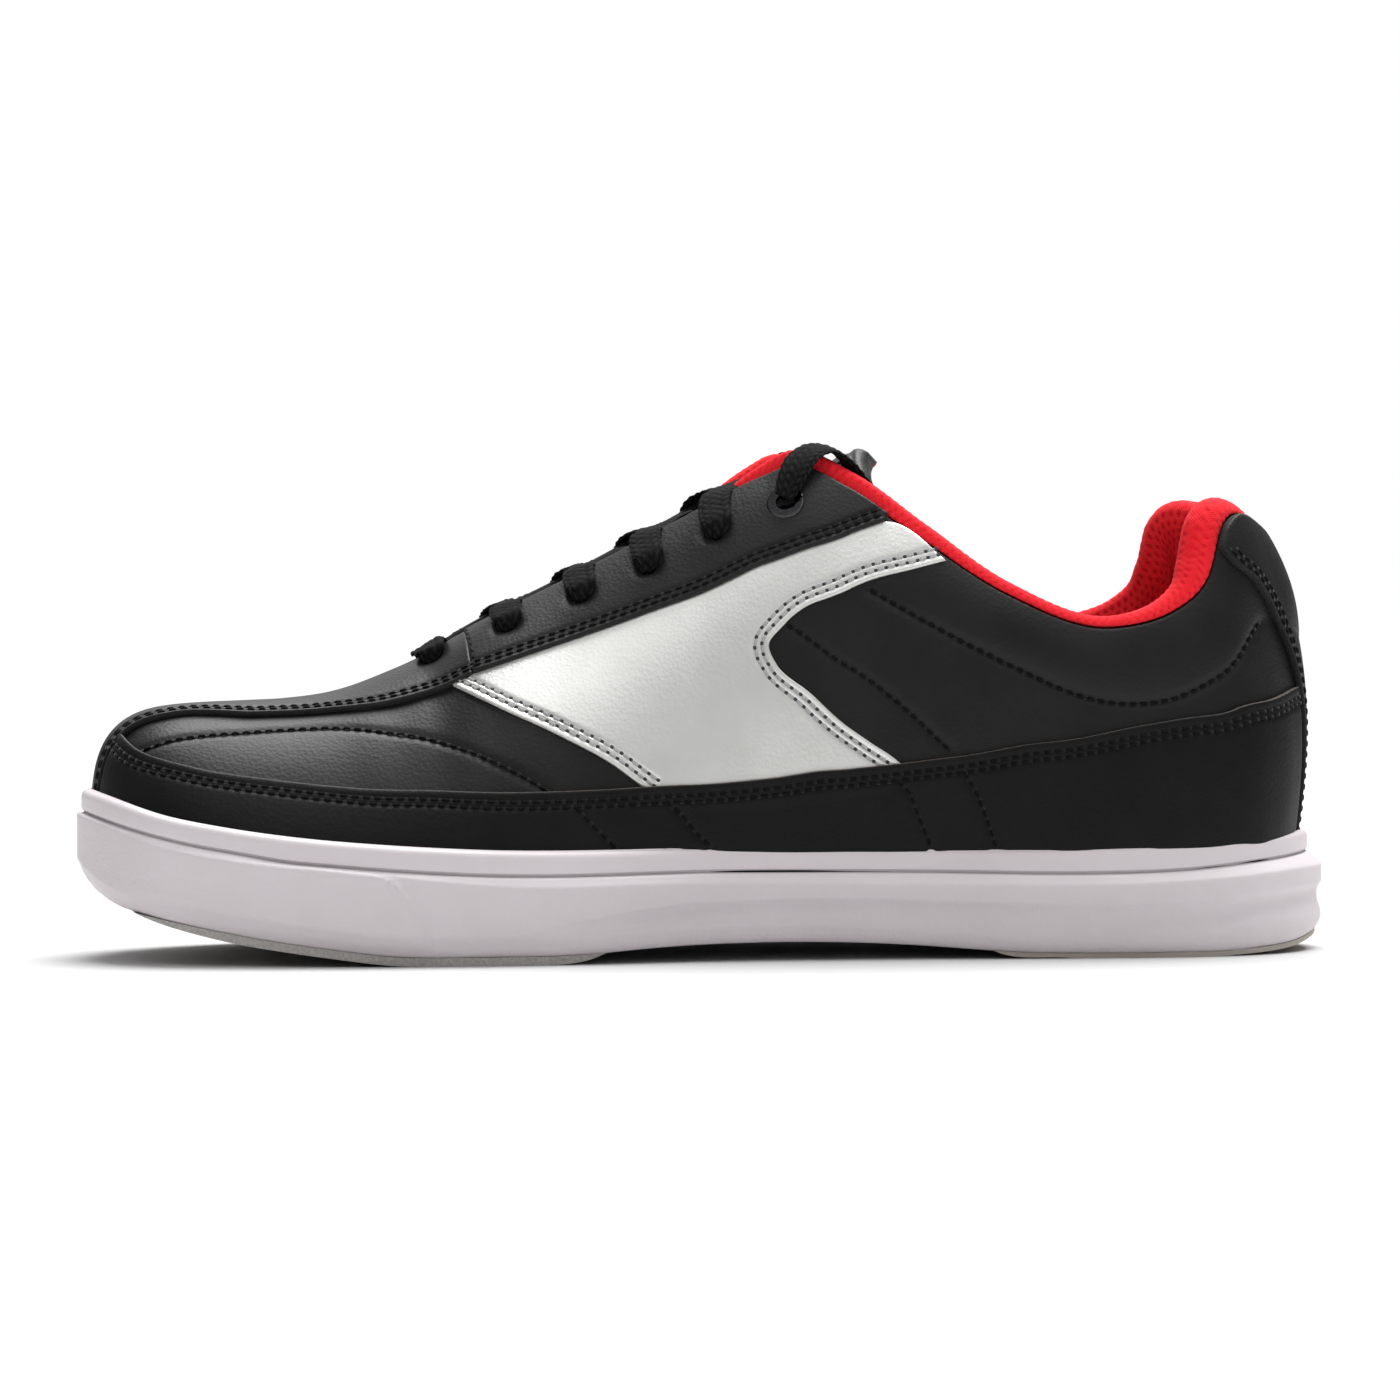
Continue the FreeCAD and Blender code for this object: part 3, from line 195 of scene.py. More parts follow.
def knit(name, dark, mid, light):
    """Air-mesh cloth: rows of loops round small holes, in millimetres along the cloth. The hollow attribute darkens the
    holes: painted shade.
    """
    n = Nodes(name, mid, 0.78, Specular_IOR_Level=0.12, Sheen_Weight=0.05)
    split = n.add("ShaderNodeSeparateXYZ")
    n.link(n.knit_place(), split.inputs[0])
    wave_a = n.maths("SINE", n.maths("MULTIPLY", split.outputs[0], 2 * math.pi / 0.52))
    wave_b = n.maths("SINE", n.maths("MULTIPLY", split.outputs[1], 2 * math.pi / 0.60))
    yarn = n.maths("MULTIPLY", wave_a, wave_b)
    hollow = n.add("ShaderNodeAttribute", attribute_name="hollow").outputs["Fac"]
    fuzz = n.noise(5200.0, 3.0)
    # hollow pulls the colour towards the dark stop: painted shade in the knit's holes and rib valleys
    shade = n.maths("ADD", n.maths("MULTIPLY", hollow, 0.72),
                    n.maths("MULTIPLY", n.maths("ADD", yarn, fuzz), 0.16))
    n.link(n.ramp(shade, [(0.05, light), (0.42, mid), (0.85, dark)]), n.shader.inputs["Base Color"])
    n.bump((n.maths("MULTIPLY", yarn, 0.5), 0.10), (fuzz, 0.08))
    return n.material


def braid_cord():
    n = Nodes("lace_cord", (0.008, 0.008, 0.008), 0.85, Specular_IOR_Level=0.12)
    # hollow is the gap between strands; it darkens the cord there: painted shade between the strands
    strand = n.add("ShaderNodeAttribute", attribute_name="hollow").outputs["Fac"]
    fuzz = n.noise(4200.0, 4.0, 0.7)
    shade = n.maths("ADD", n.maths("MULTIPLY", strand, 0.8), n.maths("MULTIPLY", fuzz, 0.3))
    n.link(n.ramp(shade, [(0.15, (0.016, 0.016, 0.016)), (0.50, (0.006, 0.006, 0.006)), (0.85, (0.0005, 0.0005, 0.0005))]),
           n.shader.inputs["Base Color"])
    n.bump((fuzz, 0.14))
    return n.material


def moulded(name, colour, rough, grain_scale=260.0, depth=0.10, shade=0.94):
    n = Nodes(name, colour, rough)
    cloud = n.noise(35.0, 3.0)
    n.link(n.ramp(cloud, [(0.30, tuple(c * shade for c in colour)), (0.70, colour)]), n.shader.inputs["Base Color"])
    n.link(n.spread(n.noise(400.0, 2.0), rough - 0.05, rough + 0.07), n.shader.inputs["Roughness"])
    n.bump((n.noise(grain_scale, 6.0, 0.62), depth), (n.cells(1500.0), depth * 0.3))
    return n.material


def brushed_cloth(name, dark, light, scale=2400.0, depth=0.2):
    n = Nodes(name, light, 0.95, Sheen_Weight=0.2)
    nap = n.noise(scale, 5.0, 0.7)
    n.link(n.ramp(nap, [(0.35, dark), (0.68, light)]), n.shader.inputs["Base Color"])
    n.bump((nap, depth), (n.noise(220.0, 3.0), depth))
    return n.material


def woven(name, dark, light, pitch=0.9):
    """Plain weave seen from above, over object x and y."""
    n = Nodes(name, light, 0.85)
    split = n.add("ShaderNodeSeparateXYZ")
    n.link(n.place(), split.inputs[0])
    a = n.maths("SINE", n.maths("MULTIPLY", split.outputs[0], 2 * math.pi / (pitch * MM)))
    b = n.maths("SINE", n.maths("MULTIPLY", split.outputs[1], 2 * math.pi / (pitch * MM)))
    weave = n.maths("ADD", n.maths("MULTIPLY", n.maths("MULTIPLY", a, b), 0.5), 0.5)
    n.link(n.ramp(weave, [(0.1, dark), (0.8, light)]), n.shader.inputs["Base Color"])
    n.bump((weave, 0.2), (n.noise(3000.0), 0.1))
    return n.material


def foam(name, dark, light):
    n = Nodes(name, light, 0.9)
    pores = n.cells(700.0)
    n.link(n.ramp(pores, [(0.1, dark), (0.6, light)]), n.shader.inputs["Base Color"])
    n.bump((pores, 0.3))
    return n.material


def metal(name, colour, rough):
    n = Nodes(name, colour, rough, Metallic=1.0)
    scuff = n.noise(900.0, 4.0)
    n.link(n.spread(scuff, rough * 0.7, rough * 1.5), n.shader.inputs["Roughness"])
    n.bump((scuff, 0.01))
    return n.material


WHITE_SOLE = (0.76, 0.70, 0.73)
M = {
    "black": leather("black_leather", (0.0095, 0.0092, 0.0092), (0.0135, 0.0130, 0.0130), 0.44,
                     Specular_IOR_Level=0.23),
    "guard": leather("guard_leather", (0.0060, 0.0058, 0.0058), (0.0090, 0.0086, 0.0086), 0.48,
                     Specular_IOR_Level=0.14),
    "silver": silver_leather(),
    "black_edge": fibre_edge("black_cut_edge", (0.006, 0.006, 0.006), (0.020, 0.018, 0.017)),
    "tan_edge": fibre_edge("tan_cut_edge", (0.050, 0.040, 0.033), (0.155, 0.125, 0.105)),
    "white_edge": fibre_edge("white_cut_edge", (0.55, 0.53, 0.50), (0.86, 0.84, 0.80)),
    "black_thread": thread("black_thread", (0.0035, 0.0035, 0.0035), 0.8),
    "silver_thread": thread("silver_thread", (0.60, 0.61, 0.62), 0.45),
    # needle holes: near-black and dark grey discs, painted shade inside each stitch hole
    "hole": brushed_cloth("needle_hole_shade", (0.001, 0.001, 0.001), (0.003, 0.003, 0.003)),
    "grey_hole_shade": brushed_cloth("grey_stitch_hole_shade", (0.03, 0.03, 0.032), (0.06, 0.06, 0.062)),
    "red": knit("red_knit", (0.30, 0.0015, 0.006), (0.90, 0.010, 0.024), (0.97, 0.030, 0.038)),
    "lining": brushed_cloth("lining_cloth", (0.36, 0.008, 0.010), (0.60, 0.018, 0.02), 1800.0, 0.15),
    "sock": woven("sock_cloth", (0.010, 0.010, 0.011), (0.045, 0.045, 0.048)),
    "lace": braid_cord(),
    "aglet": moulded("aglet_plastic", (0.012, 0.012, 0.013), 0.22, 500.0, 0.01, 0.8),
    "sole": moulded("sole_rubber", WHITE_SOLE, 0.50, 330.0, 0.16),
    "rim": moulded("sole_rubber_smooth", (0.77, 0.71, 0.74), 0.42, 120.0, 0.04),
    # darker rubber for the rim's groove: a painted shadow line in the groove
    "groove": moulded("sole_groove_painted_shade", (0.54, 0.50, 0.52), 0.8, 300.0, 0.05),
    "bottom": moulded("sole_underside", (0.66, 0.64, 0.67), 0.7, 500.0, 0.2),
    "slide": brushed_cloth("slide_microfibre", (0.40, 0.38, 0.36), (0.62, 0.60, 0.57), 1600.0, 0.35),
    "heel_rubber": moulded("heel_rubber", (0.52, 0.47, 0.42), 0.75, 600.0, 0.2),
    "eva": foam("eva_foam", (0.50, 0.50, 0.48), (0.74, 0.74, 0.72)),
    "steel": metal("shank_steel", (0.55, 0.55, 0.56), 0.35),
    "board": brushed_cloth("fibre_board", (0.22, 0.15, 0.09), (0.40, 0.29, 0.19), 900.0, 0.2),
    "stiff": brushed_cloth("stiffener", (0.45, 0.42, 0.36), (0.66, 0.62, 0.55), 1100.0, 0.15),
    "label": woven("label_cloth", (0.012, 0.012, 0.013), (0.06, 0.06, 0.065), 0.6),
    "chrome": metal("black_chrome", (0.075, 0.075, 0.08), 0.12),
}


# ---- curves and the upper's surface, as in part.py --------------------------------------------------
def track(points, x):
    """Smooth curve through (x, value) points, straight slopes at both ends."""
    xs, ys = (np.array(values, float) for values in zip(*points))
    x = np.asarray(x, float)
    steps = np.diff(xs)
    chords = np.diff(ys) / steps
    slopes = np.empty_like(ys)
    slopes[1:-1] = (chords[:-1] * steps[1:] + chords[1:] * steps[:-1]) / (steps[:-1] + steps[1:])
    slopes[0], slopes[-1] = chords[0], chords[-1]
    i = np.clip(np.searchsorted(xs, x, side="left") - 1, 0, len(xs) - 2)
    u = (x - xs[i]) / steps[i]
    stay = 2 * u ** 3 - 3 * u ** 2 + 1
    return (stay * ys[i] + (1 - stay) * ys[i + 1] + (u ** 3 - 2 * u ** 2 + u) * steps[i] * slopes[i]
            + (u ** 3 - u ** 2) * steps[i] * slopes[i + 1])


def mix(a, b, share):
    return a * (1 - share) + b * share


def ease(a, b, x):
    """0 before a, 1 after b, smooth between them."""
    share = np.clip((np.asarray(x, float) - a) / (b - a), 0, 1)
    return share * share * (3 - 2 * share)


def unit(v):
    return v / np.maximum(np.linalg.norm(v, axis=-1, keepdims=True), 1e-12)


# s, foot x, medial y, lateral y, foot z, head x, half opening, head z, slope, lean, pull
RIBS = [
    (0.000, -145.2, -9.0, -9.0, 30.0, -124.0, 0.0, 58.0, 0.0, 1.0, 0.56),
    (0.040, -143.2, -22.0, 4.5, 29.2, -121.5, 0.0, 58.3, 0.0, 1.0, 0.55),
    (0.080, -138.2, -32.0, 15.0, 27.6, -117.0, 0.0, 58.6, 0.0, 1.5, 0.50),
    (0.130, -128.5, -40.5, 26.0, 24.8, -109.5, 0.0, 58.9, 0.0, 2.0, 0.44),
    (0.190, -115.5, -46.0, 35.5, 21.8, -100.0, 0.0, 59.4, 0.0, 2.5, 0.42),
    (0.260, -98.5, -49.3, 43.5, 19.5, -88.5, 0.0, 61.1, 0.0, 3.0, 0.42),
    (0.330, -80.0, -50.0, 48.5, 18.2, -77.5, 0.0, 64.9, 0.0, 3.0, 0.41),
    (0.370, -69.0, -49.5, 50.0, 18.0, -69.0, 0.0, 68.6, 0.0, 3.0, 0.38),
    (0.420, -55.0, -48.3, 50.0, 18.0, -56.0, 7.0, 76.4, 12.0, 3.0, 0.33),
    (0.500, -32.0, -45.2, 49.0, 18.0, -33.0, 10.5, 88.0, 20.0, 3.0, 0.28),
    (0.580, -8.0, -41.5, 46.0, 18.0, -8.0, 14.0, 101.4, 28.0, 3.0, 0.27),
    (0.635, 10.0, -39.4, 43.5, 18.0, 12.0, 17.0, 112.0, 36.0, 3.0, 0.27),
    (0.665, 20.0, -38.6, 42.0, 18.0, 20.0, 19.5, 114.6, 45.0, 3.0, 0.27),
    (0.695, 29.0, -38.0, 41.0, 18.0, 30.0, 23.5, 110.2, 58.0, 3.0, 0.29),
    (0.745, 46.0, -37.4, 39.5, 18.0, 46.5, 29.0, 99.0, 68.0, 3.0, 0.31),
    (0.805, 67.0, -37.4, 38.5, 18.0, 67.5, 33.3, 85.2, 76.0, 3.0, 0.33),
    (0.865, 90.0, -37.8, 38.0, 18.0, 91.0, 34.3, 77.4, 82.0, 3.5, 0.33),
    (0.905, 106.5, -36.8, 36.8, 18.0, 107.5, 31.8, 81.2, 82.0, 5.0, 0.33),
    (0.935, 119.0, -33.8, 33.8, 18.0, 116.5, 28.3, 89.0, 80.0, 6.5, 0.33),
    (0.960, 129.3, -27.8, 27.8, 18.0, 121.5, 23.5, 102.3, 76.0, 8.0, 0.33),
    (0.978, 135.5, -19.5, 19.5, 18.0, 127.0, 16.5, 104.0, 72.0, 9.9, 0.34),
    (0.990, 139.0, -10.5, 10.5, 18.0, 133.0, 8.7, 100.4, 69.0, 11.1, 0.35),
    (1.000, 140.1, 0.0, 0.0, 18.0, 135.5, 0.0, 98.4, 68.0, 11.7, 0.355),
]
MIDDLE = [(-150.0, -9.0), (-120.0, -8.0), (-70.0, -3.5), (-20.0, -1.0), (20.0, 0.0), (150.0, 0.0)]
SLIT_START, SLIT_FULL, SLIT_HALF, SLIT_FLARE = 0.370, 0.420, 7.0, 5.15
FOOT_PULL = [(0.0, 0.60), (0.08, 0.55), (0.13, 0.46), (0.19, 0.42), (1.0, 0.42)]


def ring(medial, lateral):
    """One column once round the shoe, and a little more at both ends so that the curve closes."""
    stations = [row[0] for row in RIBS]
    lap = list(zip(stations, medial))
    lap += [(2 - s, value) for s, value in reversed(list(zip(stations, lateral)))][1:]
    return [(r - 2, value) for r, value in lap[-5:-1]] + lap + [(r + 2, value) for r, value in lap[1:5]]


def column(index):
    return ring([row[index] for row in RIBS], [row[index] for row in RIBS])


FOOT_X, FOOT_Z, HEAD_X, HEAD_Z = column(1), column(4), column(5), column(7)
SLOPE, LEAN, PULL = column(8), column(9), column(10)
FOOT_Y = ring([row[2] for row in RIBS], [row[3] for row in RIBS])
HEAD_HALF = ring([-row[6] for row in RIBS], [row[6] for row in RIBS])
UP = np.array([0.0, 0.0, 1.0])


def half_opening(r):
    s = np.minimum(np.abs(r), 2 - r)
    side = np.where((r >= 0) & (r <= 1), -1.0, 1.0)
    done = np.clip((s - SLIT_START) / (SLIT_FULL - SLIT_START), 0, 1)
    nose = side * done ** 2 * (SLIT_HALF * (3 - 2 * done) + SLIT_FLARE * (done - 1))
    return np.where(s < SLIT_START, 0.0, np.where(s < SLIT_FULL, nose, track(HEAD_HALF, r)))


def point(r, t):
    """Points of the upper's surface; above t = 1 a rib runs straight on."""
    r, t = np.broadcast_arrays(np.asarray(r, float), np.asarray(t, float))
    foot = np.stack([track(FOOT_X, r), track(FOOT_Y, r), track(FOOT_Z, r)], -1)
    head_x = track(HEAD_X, r)
    head = np.stack([head_x, track(MIDDLE, head_x) + half_opening(r), track(HEAD_Z, r)], -1)
    out = foot - head
    out = unit(out * np.array([1.0, 1.0, 0.0]))
    lean = np.radians(track(LEAN, r))[..., None]
    slope = np.radians(track(SLOPE, r))[..., None]
    rise = (track(FOOT_PULL, np.minimum(np.abs(r), 2 - r)) * (head[..., 2] - foot[..., 2]))[..., None]
    low = foot + (UP * np.cos(lean) + out * np.sin(lean)) * rise
    reach = track(PULL, r)[..., None] * np.linalg.norm(head - foot, axis=-1, keepdims=True)
    high = head + (out * np.cos(slope) - UP * np.sin(slope)) * reach
    k = np.minimum(t, 1.0)[..., None]
    place = foot * (1 - k) ** 3 + low * (3 * (1 - k) ** 2 * k) + high * (3 * (1 - k) * k * k) + head * k ** 3
    return place + (head - high) * (3 * np.maximum(t - 1, 0))[..., None]


def normal(r, t):
    r, t = np.broadcast_arrays(np.asarray(r, float), np.asarray(t, float))
    step = 0.001
    t = np.where(np.minimum(np.abs(r), np.abs(2 - r)) < 0.03, np.minimum(t, 0.96), t)
    return unit(np.cross(point(r + step, t) - point(r - step, t), point(r, t + step) - point(r, t - step)))


def layer(r, t, distance):
    return point(r, t) + normal(r, t) * np.asarray(distance, float)[..., None]


def locate(miss, r, t, side, rounds=18):
    """Newton's method on the surface for arrays of places: miss gives two leftovers for each point."""
    step = 0.0005
    low, high = (0.0, 1.0) if side < 0 else (1.0, 2.0)
    for _ in range(rounds):
        a, b = miss(point(r, t))
        ar, br = miss(point(r + step, t))
        at, bt = miss(point(r, t + step))
        ar, br, at, bt = (ar - a) / step, (br - b) / step, (at - a) / step, (bt - b) / step
        det = ar * bt - at * br
        det = np.where(np.abs(det) < 1e-9, 1e9, det)
        r = np.clip(r - np.clip((a * bt - at * b) / det, -0.03, 0.03), low, high)
        t = np.clip(t - np.clip((ar * b - a * br) / det, -0.08, 0.08), 0.0, 1.5)
    return r, t


SEED_R, SEED_T = (grid.ravel() for grid in np.meshgrid(np.linspace(0, 1, 101), np.linspace(0, 1, 25), indexing="ij"))
SEED_POINT = point(SEED_R, SEED_T)


def on_side(line):
    """Places (s, t) of the (x, z) points of a line drawn on the medial side."""
    x, z = (np.array(values, float) for values in zip(*line))
    gap = (SEED_POINT[:, 0][None] - x[:, None]) ** 2 + (SEED_POINT[:, 2][None] - z[:, None]) ** 2
    best = np.argmin(gap, axis=1)
    s, t = locate(lambda p: (p[..., 0] - x, p[..., 2] - z), SEED_R[best], SEED_T[best], -1)
    return list(zip(s.tolist(), t.tolist()))


def mirrored(places, side):
    return [(s if side < 0 else 2 - s, t) for s, t in places]


def smooth(places):
    """Curve through (r, t) places as a function of a share 0..1 of its length."""
    r, t = (np.array(values, float) for values in zip(*places))
    spans = np.concatenate([[0.0], np.cumsum(np.linalg.norm(np.diff(point(r, t), axis=0), axis=-1))])
    marks = spans / spans[-1]
    across, upward = list(zip(marks, r)), list(zip(marks, t))
    return lambda share: (track(across, share), track(upward, share))


def patch(low, high, front=None, rear=None, hug=1):
    """Place (r, t) at shares (u, v) of a four-sided region with the given edge curves. With hug above 1 the
    high curve's bends stay close to it."""
    def straight(a, b):
        return lambda v: (mix(a[0], b[0], v), mix(a[1], b[1], v))

    front = front or straight(low(0.0), high(0.0))
    rear = rear or straight(low(1.0), high(1.0))

    def place(u, v):
        result = []
        for k in (0, 1):
            low_bend = low(u)[k] - mix(low(0.0)[k], low(1.0)[k], u)
            high_bend = high(u)[k] - mix(high(0.0)[k], high(1.0)[k], u)
            result.append(mix(front(v)[k], rear(v)[k], u) + low_bend * (1 - v) + high_bend * v ** hug)
        return tuple(result)

    return place


def straight_line(a, b):
    return lambda share: (mix(a[0], b[0], np.asarray(share, float)), mix(a[1], b[1], np.asarray(share, float)))


# ---- meshes -----------------------------------------------------------------------------------------
def make(name, points, faces, materials, slots=None, body=SHOE, slot=None, replaces=(), attributes=None, uv=None,
         flat=False):
    """Object from points in millimetres, riding on a body."""
    mesh = bpy.data.meshes.new(name)
    points = np.asarray(points, float)
    faces = [tuple(face) for face in (faces.tolist() if isinstance(faces, np.ndarray) else faces)]
    mesh.from_pydata((points * MM).tolist(), [], faces)
    for material in materials:
        mesh.materials.append(M[material])
    if slots is not None:
        mesh.polygons.foreach_set("material_index", np.asarray(slots, np.int32))
    mesh.polygons.foreach_set("use_smooth", np.full(len(faces), not flat))
    for key, values in (attributes or {}).items():
        mesh.attributes.new(key, "FLOAT", "POINT").data.foreach_set("value", np.asarray(values, np.float32))
    if uv is not None:
        corner = np.empty(len(mesh.loops), np.int32)
        mesh.loops.foreach_get("vertex_index", corner)
        mesh.uv_layers.new(name="thread").data.foreach_set("uv", np.asarray(uv, np.float32)[corner].ravel())
    mesh.update()
    obj = bpy.data.objects.new(name, mesh)
    bpy.context.scene.collection.objects.link(obj)
    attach(obj, body)
    if replaces:
        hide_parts(*replaces)
    return obj


def grid_quads(rows, columns, closed_rows=False, closed_columns=False):
    i, j = np.meshgrid(np.arange(rows if closed_rows else rows - 1),
                       np.arange(columns if closed_columns else columns - 1), indexing="ij")
    i, j = i.ravel(), j.ravel()
    i2, j2 = (i + 1) % rows, (j + 1) % columns
    return np.stack([i * columns + j, i2 * columns + j, i2 * columns + j2, i * columns + j2], 1)


def facing(points, quads, directions):
    """True if the quads turn the same way as the directions at their corners."""
    a, b, c, d = (points[quads[:, k]] for k in range(4))
    return np.sum(np.cross(c - a, d - b) * directions[quads[:, 0]]) > 0


def closed_skin(outer, inner, quads, directions):
    """Closed mesh from two layers with the same quads; tags: 0 outside, 1 inside, 2 wall between them."""
    if not facing(outer, quads, directions):
        quads = quads[:, ::-1]
    used = np.unique(quads)
    renumber = np.full(len(outer), -1)
    renumber[used] = np.arange(len(used))
    outer, inner, quads = outer[used], inner[used], renumber[quads]
    n = len(outer)
    edges = np.concatenate([quads[:, [k, (k + 1) % 4]] for k in range(4)])
    ends = np.sort(edges, axis=1)
    _, index, counts = np.unique(ends[:, 0] * n + ends[:, 1], return_index=True, return_counts=True)
    rim = edges[index[counts == 1]]
    walls = np.stack([rim[:, 1], rim[:, 0], rim[:, 0] + n, rim[:, 1] + n], 1)
    faces = np.concatenate([quads, quads[:, ::-1] + n, walls])
    tags = np.concatenate([np.zeros(len(quads), int), np.ones(len(quads), int), np.full(len(walls), 2)])
    return np.concatenate([outer, inner]), faces, tags, used, rim


def gap_to(points, line):
    """Distance from each point to the nearest sample of a line."""
    line = np.asarray(line, float)
    best = np.full(len(points), 1e9)
    for start in range(0, len(points), 8000):
        part = points[start:start + 8000]
        square = (part ** 2).sum(1)[:, None] + (line ** 2).sum(1)[None] - 2 * part @ line.T
        best[start:start + 8000] = np.sqrt(np.maximum(square.min(axis=1), 0))
    return best


EDGE_STEPS = [(0.0, 0.42), (0.12, 0.17), (0.32, 0.04), (0.65, 0.0)]


def panel_places(place, spacing):
    """Shares and places of a grid over a patch, with extra rows close to its edges for their rounding."""
    coarse = np.linspace(0, 1, 25)
    u, v = np.meshgrid(coarse, coarse, indexing="ij")
    rough = point(*place(u, v))
    length_u = np.linalg.norm(np.diff(rough, axis=0), axis=-1).sum(0)
    length_v = np.linalg.norm(np.diff(rough, axis=1), axis=-1).sum(1)
    counts = [max(8, int(round(length.max() / spacing))) for length in (length_u, length_v)]
    sheets, drops = [], []
    for count, axis in zip(counts, (0, 1)):
        near = np.array([step for step, _ in EDGE_STEPS])
        fall = np.array([drop for _, drop in EDGE_STEPS])
        inside = np.linspace(0, 1, count)[1:-1]
        marks = np.concatenate([np.zeros(len(near)), inside, np.ones(len(near))])
        sheets.append((marks, np.concatenate([near, np.full(len(inside), EDGE_STEPS[-1][0]), -near[::-1]]),
                       np.concatenate([fall, np.zeros(len(inside)), fall[::-1]])))
    mu, eu, du = sheets[0]
    mv, ev, dv = sheets[1]
    lu = np.maximum(np.interp(mv, coarse, length_u), 3.0)[None, :]
    lv = np.maximum(np.interp(mu, coarse, length_v), 3.0)[:, None]
    last = EDGE_STEPS[-1][0]

    def shares(marks, edge, length):
        plain = (edge == last) & (marks > 0) & (marks < 1)
        return np.where(plain, last / length + marks * (1 - 2 * last / length),
                        np.where(marks < 0.5, edge / length, 1 + edge / length))

    u = shares(mu[:, None], eu[:, None], lu)
    v = shares(mv[None, :], ev[None, :], lv)
    drop = np.maximum(du[:, None], dv[None, :]) + 0 * u
    return u, v, drop


def dimple(points, grooves):
    """Depth of the dents that lines press into a surface: grooves are (line, depth, width)."""
    dent = np.zeros(len(points))
    for line, depth, width in grooves:
        dent = np.maximum(dent, depth * np.exp(-(gap_to(points, line) / width) ** 2))
    return dent


def punch(outer, inner, quads, holes):
    """Round holes: corners near a rim move onto it and faces inside it go."""
    keep = np.ones(len(quads), bool)
    for centre, axis, radius in holes:
        offset = outer - centre
        offset = offset - (offset @ axis)[:, None] * axis
        distance = np.linalg.norm(offset, axis=1)
        close = (distance > radius - 0.40) & (distance < radius + 0.30)
        shift = unit(offset) * (radius - distance)[:, None]
        outer = outer + np.where(close[:, None], shift, 0)
        inner = inner + np.where(close[:, None], shift, 0)
        inside = distance < radius + 0.30
        keep &= ~inside[quads].all(axis=1)
    return outer, inner, quads[keep]


def panel(name, place, top, bottom, materials, spacing=0.7, grooves=(), lift=None, holes=(), rounded=True, **extra):
    """Closed leather panel over a patch, from bottom to top millimetres off the surface.
    materials: face, cut edge. lift(points, r, t) adds height."""
    u, v, drop = panel_places(place, spacing)
    r, t = place(u, v)
    shape = u.shape
    r, t, drop = r.ravel(), t.ravel(), drop.ravel()
    base, out = point(r, t), normal(r, t)
    height = np.full(len(r), float(top))
    if lift is not None:
        height = height + lift(base, r, t)
    if grooves:
        height = height - dimple(base, grooves)
    if rounded:
        height = height - drop
    outer, inner = base + out * height[:, None], base + out * bottom
    quads = grid_quads(*shape)
    if holes:
        outer, inner, quads = punch(outer, inner, quads, holes)
    points, faces, tags, used, _ = closed_skin(outer, inner, quads, out)
    slots = (tags == 2).astype(int)
    edge_rows = np.zeros(shape, bool)
    edge_rows[0], edge_rows[-1], edge_rows[:, 0], edge_rows[:, -1] = True, True, True, True
    rim = np.concatenate([edge_rows.ravel()[used], edge_rows.ravel()[used]])
    slots = np.where((tags == 0) & rim[faces].any(axis=1), 1, slots)
    return make(name, points, faces, materials, slots, **extra)


# ---- stitching --------------------------------------------------------------------------------------
def dense(places, count=400):
    """A line of places as arrays (r, t) at even steps of its length."""
    r, t = smooth(places)(np.linspace(0, 1, count))
    return r, t


def even(r, t, step):
    """The same line at even steps in millimetres."""
    spans = np.concatenate([[0.0], np.cumsum(np.linalg.norm(np.diff(point(r, t), axis=0), axis=-1))])
    marks = np.linspace(0, spans[-1], max(2, int(round(spans[-1] / step)) + 1))
    return np.interp(marks, spans, r), np.interp(marks, spans, t)


def shifted(r, t, distance):
    """The line moved sideways on the surface, by distance to the left of its direction seen from outside."""
    step = 0.0005
    here = point(r, t)
    along = unit(np.gradient(here, axis=0))
    left = unit(np.cross(normal(r, t), along))
    per_r = (point(r + step, t) - point(r - step, t)) / (2 * step)
    per_t = (point(r, t + step) - point(r, t - step)) / (2 * step)
    rr, rt, tt = (per_r ** 2).sum(-1), (per_r * per_t).sum(-1), (per_t ** 2).sum(-1)
    gr, gt = (per_r * left).sum(-1) * distance, (per_t * left).sum(-1) * distance
    det = rr * tt - rt * rt
    return r + (gr * tt - gt * rt) / det, t + (gt * rr - gr * rt) / det


PITCH, THREAD_RADIUS = 2.6, 0.33
STITCH_RING = 6


